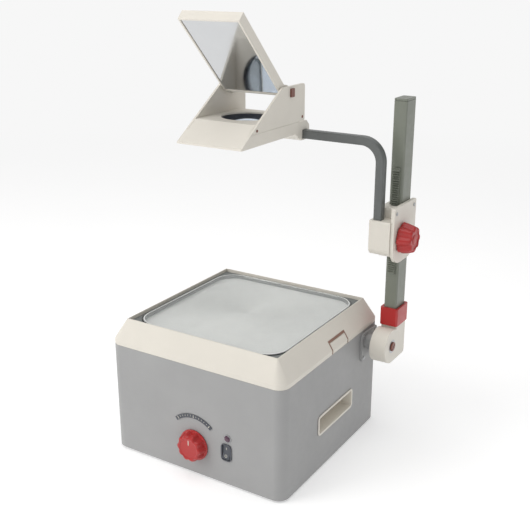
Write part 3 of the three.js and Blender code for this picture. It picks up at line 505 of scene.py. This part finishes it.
def cut_slot(piece, radius, width, depth, top, turn, at, angle):
    """Cuts a driver slot across a head, and bakes the cut so that the cutter can go."""
    cutter_mesh = box(-radius * 1.3, radius * 1.3, -width / 2, width / 2, top - depth, top + 2)
    cutter_mesh.transform(Matrix.Rotation(math.radians(angle), 4, "Z"))
    cutter_mesh.transform(to_scene(turn, at))
    bmesh.ops.recalc_face_normals(cutter_mesh, faces=cutter_mesh.faces)
    cutter = new_object(cutter_mesh, piece.name + "_cutter")
    # the finishing modifiers are hidden, so that only the cut is baked
    for modifier in piece.modifiers:
        modifier.show_viewport = False
    cut = piece.modifiers.new("slot", "BOOLEAN")
    cut.object = cutter
    cut.operation = "DIFFERENCE"
    cut.solver = "EXACT"
    evaluated = piece.evaluated_get(bpy.context.evaluated_depsgraph_get())
    baked = bpy.data.meshes.new_from_object(evaluated)
    piece.modifiers.remove(cut)
    for modifier in piece.modifiers:
        modifier.show_viewport = True
    finish = piece.data.materials[0]
    piece.data = baked
    baked.materials.clear()
    baked.materials.append(finish)
    bpy.data.objects.remove(cutter, do_unlink=True)


def screws(prefix, body, places, turn, radius, height, mat="steel", first_angle=0, step_angle=0):
    """Slotted, slightly domed heads, each with its slot turned on from the last."""
    dome = 0.35
    face_radius = radius - 0.35
    face_z = height - dome
    profile = [(radius, 0.0), (radius, face_z - 0.35), (radius - 0.12, face_z - 0.15),
               (face_radius, face_z)]
    profile += [(face_radius * share, height - dome * share * share)
                for share in (0.8, 0.6, 0.4, 0.2)]
    for i, at in enumerate(places):
        head = place(turned(profile, 40), f"{prefix}_{i}", body, mat, turn=turn, at=at)
        cut_slot(head, radius, width=0.26 * radius, depth=0.45 * height, top=height,
                 turn=turn, at=at, angle=first_angle + step_angle * i)


# ------------------------------------------------------------------ knobs
FRONT_Y = -172.5                  # front panel
COVER_X = 231                     # outer face of the carriage cover
LAMP_KNOB_X, LAMP_KNOB_Z = 1, 58.5
LAMP_KNOB_AT = (LAMP_KNOB_X, FRONT_Y, LAMP_KNOB_Z)


def flutes(count, depth, sharpness):
    """Hollows evenly spaced round a knob."""
    def wave(angle):
        return -depth * (0.5 - 0.5 * math.cos(count * angle)) ** sharpness
    return wave


# knob profiles: radius, height, share of the flutes' depth
# flared skirt, dished face, raised boss
FOCUS_KNOB = [
    (3.4, 0.5), (23.5, 0.5, 0.4), (24.6, 0.9, 0.5), (26.8, 2.2, 0.95), (27.4, 3.4, 1),
    (27.4, 5.0, 1), (26.9, 9.0, 1), (25.8, 14, 1), (24.4, 19, 1), (23.3, 22.5, 1),
    (22.2, 24.6, 0.95), (20.6, 25.8, 0.85), (18.8, 26.2, 0.6), (17.6, 25.9, 0.3),
    (16.8, 25.0, 0.1), (16.0, 24.4, 0), (9.0, 24.0, 0), (8.4, 24.6, 0), (7.6, 25.2, 0),
    (4.0, 25.6, 0), (0.2, 25.7, 0)]
# broad skirt over a thin flange
LAMP_KNOB = [
    (3.4, 0.8), (27.6, 0.8, 0), (28.0, 1.3, 0), (28.0, 2.6, 0), (27.4, 3.2, 0), (26.6, 3.4, 0.3),
    (26.4, 4.2, 1), (25.9, 8, 1), (25.2, 12, 1), (24.5, 15.2, 1), (23.6, 17.2, 0.95),
    (22.2, 18.5, 0.8), (20.2, 19.0, 0.5), (18.6, 18.8, 0.2), (17.4, 18.0, 0), (16.6, 17.6, 0),
    (8, 17.3, 0), (0.2, 17.2, 0)]
place(turned(FOCUS_KNOB, 160, flutes(count=8, depth=4.0, sharpness=1.3)),
      "focus_knob_fluted", "focus_knob", "red_plastic", replaces="focus_knob",
      turn=TO_X, at=(COVER_X, 123, 384))
place(turned(LAMP_KNOB, 160, flutes(count=10, depth=2.8, sharpness=1.2)),
      "lamp_knob_fluted", "lamp_knob", "red_plastic", replaces="lamp_knob",
      turn=TO_NEG_Y, at=LAMP_KNOB_AT)

# white pointer on the lamp knob's face
pointer = [round_rect(0.9, 4.6, 0.8, z, steps=4, centre_y=11.2) for z in (17.2, 17.62)]
place(rings_mesh(pointer), "lamp_knob_pointer", "lamp_knob", "nylon",
      turn=TO_NEG_Y, at=LAMP_KNOB_AT, bevel=0.12)


# ------------------------------------------------------------------ dial, rocker, indicator
def dial_marks():
    """Radial marks above the lamp knob, longer at both ends and the middle of the sweep."""
    back_y, face_y = -173.9, -174.22
    mesh = bmesh.new()
    for degrees in range(-36, 37, 6):
        inner, outer, half = (50.8, 56.2, 0.55) if degrees % 36 == 0 else (52.6, 55.6, 0.3)
        angle = math.radians(90 + degrees)
        cos, sin = math.cos(angle), math.sin(angle)
        corners = [(LAMP_KNOB_X + radius * cos - side * sin,
                    LAMP_KNOB_Z + radius * sin + side * cos)
                   for radius, side in ((inner, -half), (outer, -half), (outer, half),
                                        (inner, half))]
        add_plate(mesh, [(x, back_y, z) for x, z in corners],
                  [(x, face_y, z) for x, z in corners])
    return mesh


place(dial_marks(), "dial_scale_marks", "chassis", "nylon", bevel=0.06, segments=1)

ROCKER_Y, ROCKER_Z = -169.5, 64   # the rocker's centre
ROCKER_TILT = math.radians(-8)
MARK_X = 66.5
MARK_Z = 6.6                      # of each mark, above or below the rocker's centre
MARK_PROUD, MARK_SUNK = -0.22, 0.15


def rocker_point(x, z, offset):
    """Point at height z along the rocker's two sloping faces, offset back from them."""
    y = -3.2 - 1.4 * abs(z) / 12 + offset
    cos, sin = math.cos(ROCKER_TILT), math.sin(ROCKER_TILT)
    return (x, ROCKER_Y + y * cos - z * sin, ROCKER_Z + y * sin + z * cos)


def on_mark():
    left, right = MARK_X - 0.5, MARK_X + 0.5
    low, high = MARK_Z - 2.2, MARK_Z + 2.2
    corners = ((left, low), (right, low), (right, high), (left, high))
    mesh = bmesh.new()
    add_plate(mesh, *([rocker_point(x, z, offset) for x, z in corners]
                      for offset in (MARK_PROUD, MARK_SUNK)))
    return mesh


def off_mark():
    outer, inner, steps = 2.5, 1.8, 28
    rings = []
    for radius, offset in ((outer, MARK_PROUD), (inner, MARK_PROUD),
                           (inner, MARK_SUNK), (outer, MARK_SUNK)):
        angles = [2 * math.pi * k / steps for k in range(steps)]
        rings.append([rocker_point(MARK_X + radius * math.cos(angle),
                                   -MARK_Z + radius * math.sin(angle), offset)
                      for angle in angles])
    return rings_mesh(rings, closed=True)


place(on_mark(), "rocker_mark_on", "rocker", "nylon", bevel=0.05, segments=1)
place(off_mark(), "rocker_mark_off", "rocker", "nylon")

# domed indicator lens in a plated collar; profiles are radius, height
INDICATOR_AT = (69, FRONT_Y, 90.5)
COLLAR = [(5.2, 0.3), (6.7, 0.3), (6.9, 0.6), (6.9, 1.0), (6.5, 1.35), (6.05, 1.4), (5.7, 1.1),
          (5.5, 0.8)]
INDICATOR = [(0.2, -12), (4.3, -12), (4.3, 0.3), (5.6, 0.35), (5.6, 1.3), (5.1, 2.2),
             (4.4, 2.9), (3.4, 3.45), (2.2, 3.8), (1.1, 3.97), (0.2, 4.0)]
place(turned(COLLAR, 56, closed=True), "indicator_collar", "chassis", "steel",
      turn=TO_NEG_Y, at=INDICATOR_AT)
place(turned(INDICATOR, 48), "power_indicator_lens", "chassis", "indicator_violet",
      replaces="power_indicator", turn=TO_NEG_Y, at=INDICATOR_AT)

# ------------------------------------------------------------------ pivot bolt
# profiles: radius, x
PIVOT_AT = (0, 118, 181)
BOLT_RADIUS, BOLT_END = 8.5, 230.4
BOLT = [(0.2, 164), (5.0, 164), (5.0, 227.2), (8.0, 227.3), (BOLT_RADIUS, 227.7),
        (BOLT_RADIUS, 229.2), (8.1, 229.8), (7.2, 230.1), (4, 230.35), (0.2, BOLT_END)]
NUT = [(8.6, 164.6), (9.2, 165.2), (9.2, 171.0), (8.6, 171.6), (5.1, 171.6), (5.1, 164.6)]
WASHER = [(5.4, 226.95), (12.0, 226.95), (12.4, 227.05), (12.4, 227.28), (5.4, 227.28)]
bolt = place(turned(BOLT, 64), "pivot_bolt_slotted", "chassis", "brown_screw",
             replaces="pivot_bolt", turn=TO_X, at=PIVOT_AT)
cut_slot(bolt, BOLT_RADIUS, width=2.0, depth=1.7, top=BOLT_END, turn=TO_X, at=PIVOT_AT,
         angle=35)
place(turned(NUT, 6, closed=True), "pivot_nut", "chassis", "steel",
      turn=TO_X, at=PIVOT_AT, bevel=0.2)
place(turned(WASHER, 56, closed=True), "pivot_washer", "chassis", "steel",
      turn=TO_X, at=PIVOT_AT)


# ------------------------------------------------------------------ arm
def arm_mesh():
    """Square tube that rises at the right, bends, and runs level to the left."""
    half, wall, bend, bend_steps = 7.5, 1.5, 35, 28
    foot_z, top_z = 370, 548
    upright_x, end_x = 198, -18
    arm_y = 100
    centre_x, centre_z = upright_x - bend, top_z - bend
    # stations: x, z, turn of the section
    path = [(upright_x, foot_z, 0.0), (upright_x, centre_z, 0.0)]
    for i in range(1, bend_steps):
        angle = math.pi / 2 * i / bend_steps
        path.append((centre_x + bend * math.cos(angle), centre_z + bend * math.sin(angle),
                     angle))
    path += [(centre_x, top_z, math.pi / 2), (end_x, top_z, math.pi / 2)]

    def section(station, half_width, corner):
        x, z, angle = station
        return [(x + across * math.cos(angle), arm_y + along, z + across * math.sin(angle))
                for across, along, _ in round_rect(half_width, half_width, corner, 0, steps=5)]

    outside = [section(station, half, 2.2) for station in path]
    inside = [section(station, half - wall, 1.0) for station in reversed(path)]
    return rings_mesh(outside + inside, closed=True)


place(arm_mesh(), "arm_tube_swept", "carriage", "arm_paint", replaces="arm_tube",
      bevel=0.15, segments=1, angle=60)


# ------------------------------------------------------------------ stage
def fresnel_mesh():
    """Sheet with concentric facets on top, clipped square, with a flat underside."""
    steps, pitch, first_radius, last_radius = 144, 2.6, 0.4, 214
    crest_z, valley_z, bottom_z = 232.78, 232.2, 230.62
    half_side = 149.3
    mesh = bmesh.new()
    rings = []
    radius = first_radius
    while radius < last_radius:
        rings.append((radius, crest_z))
        rings.append((radius + pitch * 0.9, valley_z))
        radius += pitch
    angles = [2 * math.pi * k / steps for k in range(steps)]
    loops = [[mesh.verts.new((reach * math.cos(angle), reach * math.sin(angle), z))
              for angle in angles] for reach, z in rings]
    centre = mesh.verts.new((0, 0, crest_z))
    for k in range(steps):
        mesh.faces.new((centre, loops[0][k], loops[0][(k + 1) % steps]))
    for inner, outer in zip(loops, loops[1:]):
        for k in range(steps):
            following = (k + 1) % steps
            mesh.faces.new((inner[k], outer[k], outer[following], inner[following]))
    for normal in ((1, 0, 0), (-1, 0, 0), (0, 1, 0), (0, -1, 0)):
        bmesh.ops.bisect_plane(mesh, geom=mesh.verts[:] + mesh.edges[:] + mesh.faces[:],
                               plane_co=Vector(normal) * half_side, plane_no=normal,
                               clear_outer=True)
    rim = [edge for edge in mesh.edges if edge.is_boundary]
    skirt = bmesh.ops.extrude_edge_only(mesh, edges=rim)["geom"]
    for element in skirt:
        if isinstance(element, bmesh.types.BMVert):
            element.co.z = bottom_z
    bmesh.ops.holes_fill(mesh, edges=[edge for edge in mesh.edges if edge.is_boundary], sides=0)
    return mesh


def square_band(half, corner, width, low, high):
    """Rounded square loop of rectangular section; half and corner are of its outer edge."""
    inner, inner_corner = half - width, corner - width
    return rings_mesh([round_rect(side, side, radius, z, steps=14) for side, radius, z in (
        (half, corner, low), (half, corner, high),
        (inner, inner_corner, high), (inner, inner_corner, low))], closed=True)


place(fresnel_mesh(), "fresnel_lens_grooved", "stage", "fresnel",
      replaces="fresnel_lens", smooth=False)
# painted line near the glass's edge
place(square_band(half=143.0, corner=38.0, width=2.0, low=243.24, high=243.42),
      "glass_keyline", "stage", "keyline")
# rubber strip under the rim of the glass
place(square_band(half=145.9, corner=40.9, width=0.8, low=241.55, high=242.5),
      "glass_bedding", "stage", "rubber")


def latch_surround():
    """Thin strip up both sides and over the top of the latch, on the stage's right side. The sides
    are trim round the latch; the wider strip over the top is painted shade, a dark band standing in
    for the shadow above the latch.
    """
    wall_x, fold_z = 175.0, 211.5            # upright up to the fold, then leaning inwards
    run, rise, slant = 22.4, 35.1, 41.64     # the leaning face, and its length
    near, far, top = -10, 43, 222            # edges of the latch: y, y, z
    # the top strip is wider than the sides: the extra width is painted shade for the shadow above
    # the latch
    gap, side_width, top_shade_width = 0.6, 2.2, 3.6
    proud, sunk = 0.55, 0.25

    def strip(mesh, y0, y1, heights):
        rings = []
        for z in heights:
            if z <= fold_z:
                x, normal_x, normal_z = wall_x, 1.0, 0.0
            else:
                x = wall_x - run * (z - fold_z) / rise
                normal_x, normal_z = rise / slant, run / slant
            rings.append([(x + normal_x * offset, y, z + normal_z * offset) for y, offset in (
                (y0, -sunk), (y0, proud), (y1, proud), (y1, -sunk))])
        add_bar(mesh, rings)

    mesh = bmesh.new()
    side_heights = (204.3, 208, 211.4, 211.6, 217, top + 0.55)
    strip(mesh, near - gap - side_width, near - gap, side_heights)
    strip(mesh, far + gap, far + gap + side_width, side_heights)
    strip(mesh, near - gap - side_width, far + gap + side_width,
          (top + gap, top + gap + top_shade_width))
    return mesh


# brown strip round the latch, widened over the top as painted shade
place(latch_surround(), "latch_surround", "stage", "brown_trim_and_shade", bevel=0.2)

# ------------------------------------------------------------------ head
# profiles: radius, height
BARREL = [(42.2, 556.2), (47.9, 556.2), (48.4, 556.7), (48.4, 583.9), (47.9, 584.5),
          (46.2, 584.5), (45.7, 584.0), (45.7, 582.6), (46.1, 582.2), (46.1, 571.5),
          (45.7, 571.2), (45.7, 558.9), (42.7, 558.6), (42.2, 558.1)]
RETAINING_RING = [(44.0, 581.6), (45.4, 581.6), (45.4, 583.6), (44.0, 583.6)]


def objective_profile():
    """Lens bulging 8 mm below its rim and 12 mm above it."""
    radius, bottom, top = 44.9, 559.3, 583
    below = [(radius * i / 10, bottom + 8 * (i / 10) ** 2) for i in range(1, 11)]
    above = [(radius * i / 10, top - 12 * (i / 10) ** 2) for i in range(10, 0, -1)]
    return [(0.2, bottom)] + below + above + [(0.2, top)]


place(turned(BARREL, 96, closed=True), "lens_barrel_turned", "carriage", "dark_plastic",
      replaces="lens_barrel")
place(turned(objective_profile(), 96), "objective_lens_polished", "carriage", "coated_lens",
      replaces="objective_lens")
place(turned(RETAINING_RING, 96, closed=True), "lens_retaining_ring", "carriage",
      "dark_plastic", bevel=0.2)

# ------------------------------------------------------------------ screws
for side, x, turn in (("right", 61.5, TO_X), ("left", -61.5, TO_NEG_X)):
    screws(f"cheek_screw_{side}", "carriage", [(x, -68, 579.5), (x, 74, 582)], turn,
           radius=2.3, height=1.2, mat="brown_screw", first_angle=30, step_angle=50)
screws("cover_screw", "carriage", [(COVER_X, y, z) for y, z in ((99, 431), (172, 431), (172, 354))],
       TO_X, radius=3.2, height=1.7, first_angle=15, step_angle=40)
screws("bracket_screw", "chassis",
       [(179.5, y, z) for y, z in ((103, 153), (149, 153), (149, 193), (103, 193))],
       TO_X, radius=3.2, height=1.6, first_angle=25, step_angle=35)
screws("leaf_screw", "chassis", [(-177.3, y, 190) for y in (-120, -100, 100, 120)],
       TO_NEG_X, radius=2.3, height=1.0, first_angle=20, step_angle=30)

# ------------------------------------------------------------------ underside
# hollow foot: radius, height
FOOT = [(3.2, 1.4), (4.6, 1.4), (5.4, 0.5), (6.2, 0.02), (10.5, 0.02), (11.3, 0.3), (11.9, 1.0),
        (12.3, 2.0), (12.9, 3.4), (12.9, 3.95), (3.0, 3.98), (3.0, 9.4), (0.2, 9.45), (0.2, 2.4),
        (3.2, 2.4)]
for end, y in (("front", -145), ("rear", 145)):
    for side, x in (("left", -148), ("right", 148)):
        foot = f"foot_{end}_{side}"
        place(turned(FOOT, 56, closed=True), foot + "_moulded", "chassis", "rubber",
              replaces=foot, at=(x, y, 0))
screws("base_screw", "chassis",
       [(x, y, 4.3) for x, y in ((-160, -60), (-160, 60), (160, -60), (160, 60),
                                 (0, -160), (0, 160))],
       DOWN, radius=3.4, height=1.6, step_angle=25)

# ------------------------------------------------------------------ lamps
LAMP_Z = 62
# radius, distance from the socket
BULB = [(0.1, 10.0), (4.4, 10.2), (4.9, 12), (6.3, 14.5), (6.4, 18), (6.4, 33), (6.1, 36.0),
        (5.3, 38.6), (4.0, 40.6), (2.2, 41.8), (1.2, 42.8), (0.1, 43.0)]


def filament_mesh():
    """Coiled wire lying across the bulb, with a straight lead at each end."""
    steps, turns, coil, wire = 12, 9, 1.6, 0.16
    half_length, coil_z = 4.2, 26
    lead_foot, lead_top = 11.4, 22
    count = turns * steps
    path = [Vector((-half_length, 0, lead_foot)), Vector((-half_length, 0, lead_top))]
    for i in range(count + 1):
        angle = 2 * math.pi * i / steps
        path.append(Vector((-half_length + 2 * half_length * i / count,
                            coil * math.cos(angle), coil_z + coil * math.sin(angle))))
    path += [Vector((half_length, 0, lead_top)), Vector((half_length, 0, lead_foot))]
    rings = []
    across = None
    for i, point in enumerate(path):
        along = (path[min(i + 1, len(path) - 1)] - path[max(i - 1, 0)]).normalized()
        # the last section's direction is carried on, so that the wire doesn't twist
        if across is None:
            across = along.orthogonal().normalized()
        else:
            across = (across - along * across.dot(along)).normalized()
        other = along.cross(across)
        rings.append([point + wire * (across * math.cos(k * math.pi / 3)
                                      + other * math.sin(k * math.pi / 3)) for k in range(6)])
    mesh = bmesh.new()
    add_bar(mesh, rings)
    return mesh


for lamp, x in (("lamp_main", 0), ("lamp_spare", -26.39)):
    at = (x, -37.7, LAMP_Z)
    place(turned(BULB, 40), f"{lamp}_bulb", "lamp_carriage", "bulb_glass",
          replaces=lamp, turn=TO_Y, at=at)
    place(rings_mesh([round_rect(5.2, 3.4, 1.2, z, steps=4) for z in (0.2, 11.5)]),
          f"{lamp}_pinch", "lamp_carriage", "ceramic", turn=TO_Y, at=at, bevel=0.4)
    place(filament_mesh(), f"{lamp}_filament", "lamp_carriage", "steel", turn=TO_Y, at=at)


# ------------------------------------------------------------------ condenser and reflector
# profile: radius, height
CONDENSER_RING = [
    (33.2, 104.35), (43.4, 104.35), (43.9, 104.8), (43.9, 124.4), (43.4, 124.9), (37.0, 124.9),
    (36.5, 124.4), (36.5, 106.4), (33.6, 106.4), (33.2, 106.0)]


def condenser_profile():
    """Flat below, domed above."""
    radius, rim, rise = 35.7, 110, 10
    dome = [(radius * (1 - i / 10), rim + rise * (1 - (1 - i / 10) ** 2)) for i in range(1, 10)]
    return [(0.2, 107), (35.3, 107), (radius, 107.3), (radius, rim)] + dome + [(0.2, rim + rise)]


def reflector_profile():
    """Bowl of two spherical faces about the lamp's height, on a stem and a flange."""
    def arc(radius, first):
        angles = [math.radians(68 * i / 20) for i in range(first, 21)]
        return [(radius * math.sin(angle), LAMP_Z - radius * math.cos(angle))
                for angle in angles]
    stem = [(0.2, 6.7), (14, 6.7), (14, 8.9), (6, 9.0), (5.2, 26.8)]
    return stem + arc(35.4, first=3) + arc(34.2, first=1)[::-1] + [(0.2, 27.8)]


place(turned(condenser_profile(), 80), "condenser_lens_polished", "chassis", "lens_glass",
      replaces="condenser_lens")
place(turned(CONDENSER_RING, 80, closed=True), "condenser_ring_spun", "chassis",
      "galvanised_sheet", replaces="condenser_ring")
place(turned(reflector_profile()), "lamp_reflector_spun", "chassis", "bright_reflector",
      replaces="lamp_reflector")

# cap on the fan's hub: radius, y
HUB_CAP = [(0.2, 160.2), (11, 160.2), (11.6, 160.5), (11.6, 160.7), (0.2, 160.9)]
place(turned(HUB_CAP, 40), "fan_hub_cap", "fan_rotor", "steel", turn=TO_Y, at=(-60, 0, 72))

# ------------------------------------------------------------------ floor and world
BACKDROP = (0.93, 0.93, 0.93)
WHITE = (1.0, 1.0, 1.0)


def floor_material():
    """Pale paper that melts into the backdrop far off and is clear from below."""
    tree = Surface("floor_paper")
    base = tree.mix(tree.noise(scale=3), (0.80, 0.80, 0.80), (0.83, 0.83, 0.83))
    paper = tree.principled(Base_Color=base, Roughness=0.8, Specular_IOR_Level=0.1,
                            Emission_Color=WHITE, Emission_Strength=0.34)
    underside = tree.node("NewGeometry", output="Backfacing")
    camera_ray = tree.node("LightPath", output="Is Camera Ray")
    away = tree.node("BsdfTransparent")
    distance = tree.node("VectorMath", {0: tree.coord}, output="Value", operation="LENGTH")
    haze = tree.node("Emission", {"Color": BACKDROP})
    farness = tree.remap(distance, span=(0.7, 3.2), to=(0.0, 1.0))
    faded = tree.mix_shader(tree.math("MULTIPLY", farness, camera_ray), paper, haze)
    seen_below = tree.math("MULTIPLY", underside, camera_ray)
    return tree.finish(tree.mix_shader(seen_below, faded, away))


def make_floor():
    cells, size = 24, 120                    # squares along each side; side in metres
    left, front = -60, -30
    mesh = bmesh.new()
    rows = [[mesh.verts.new((left + size * i / cells, front + size * j / cells, BENCH))
             for i in range(cells + 1)] for j in range(cells + 1)]
    for near, far in zip(rows, rows[1:]):
        for i in range(cells):
            mesh.faces.new((near[i], near[i + 1], far[i + 1], far[i]))
    sheet = new_object(mesh, "floor")
    sheet.data.materials.append(floor_material())


def make_world():
    """White light, a little weaker from the right; the camera sees the plain backdrop."""
    world = bpy.data.worlds.new("studio")
    scene.world = world
    world.use_nodes = True
    tree = Nodes(world.node_tree)
    light = world.node_tree.nodes["Background"]
    direction = tree.node("TexCoord", output="Generated")
    across = tree.node("SeparateXYZ", {0: direction}, output="X")
    tree.feed(light.inputs["Color"], WHITE)
    tree.feed(light.inputs["Strength"], tree.remap(across, span=(-0.2, 1.0), to=(0.62, 0.46)))
    seen = tree.node("Background", {"Color": BACKDROP})
    camera_ray = tree.node("LightPath", output="Is Camera Ray")
    tree.feed(world.node_tree.nodes["World Output"].inputs["Surface"],
              tree.mix_shader(camera_ray, light.outputs[0], seen))


make_floor()
make_world()


# ------------------------------------------------------------------ lights and camera
def area(name, at, target, size, power, colour=WHITE):
    """Square lamp aimed at a target; places are in metres above the bench."""
    light = bpy.data.lights.new(name, "AREA")
    light.shape = "RECTANGLE"
    light.size = size
    light.size_y = size
    light.energy = power
    light.color = colour
    lamp = bpy.data.objects.new(name, light)
    lamp.location = Vector(at) + Vector((0, 0, BENCH))
    aim = Vector(target) - Vector(at)
    lamp.rotation_euler = aim.to_track_quat("-Z", "Y").to_euler()
    scene.collection.objects.link(lamp)
    return lamp


key = area("key", at=(-1.9, -2.3, 1.9), target=(0, 0, 0), size=1.8, power=42,
           colour=(1.0, 0.99, 0.97))
key.visible_glossy = False
area("top", at=(0.1, -0.4, 2.8), target=(0, 0, 0), size=2.2, power=20)
area("fill", at=(2.6, 0.6, 1.0), target=(0, 0, 0.1), size=1.6, power=1.5,
     colour=(0.96, 0.98, 1.0))


def make_camera():
    """Camera in front and to the right, looking down at the projector."""
    yaw, pitch = math.radians(31.91), math.radians(19.41)
    lens = bpy.data.cameras.new("camera")
    lens.sensor_width = 36
    lens.lens = 57.75283
    lens.clip_start = 0.05
    lens.clip_end = 50
    camera = bpy.data.objects.new("camera", lens)
    forward = Vector((-math.sin(yaw) * math.cos(pitch), math.cos(yaw) * math.cos(pitch),
                      -math.sin(pitch)))
    camera.location = (0.7651, -1.1744, 0.8217 + BENCH)
    camera.rotation_euler = forward.to_track_quat("-Z", "Y").to_euler()
    scene.collection.objects.link(camera)
    scene.camera = camera


make_camera()
scene.view_settings.view_transform = "Standard"
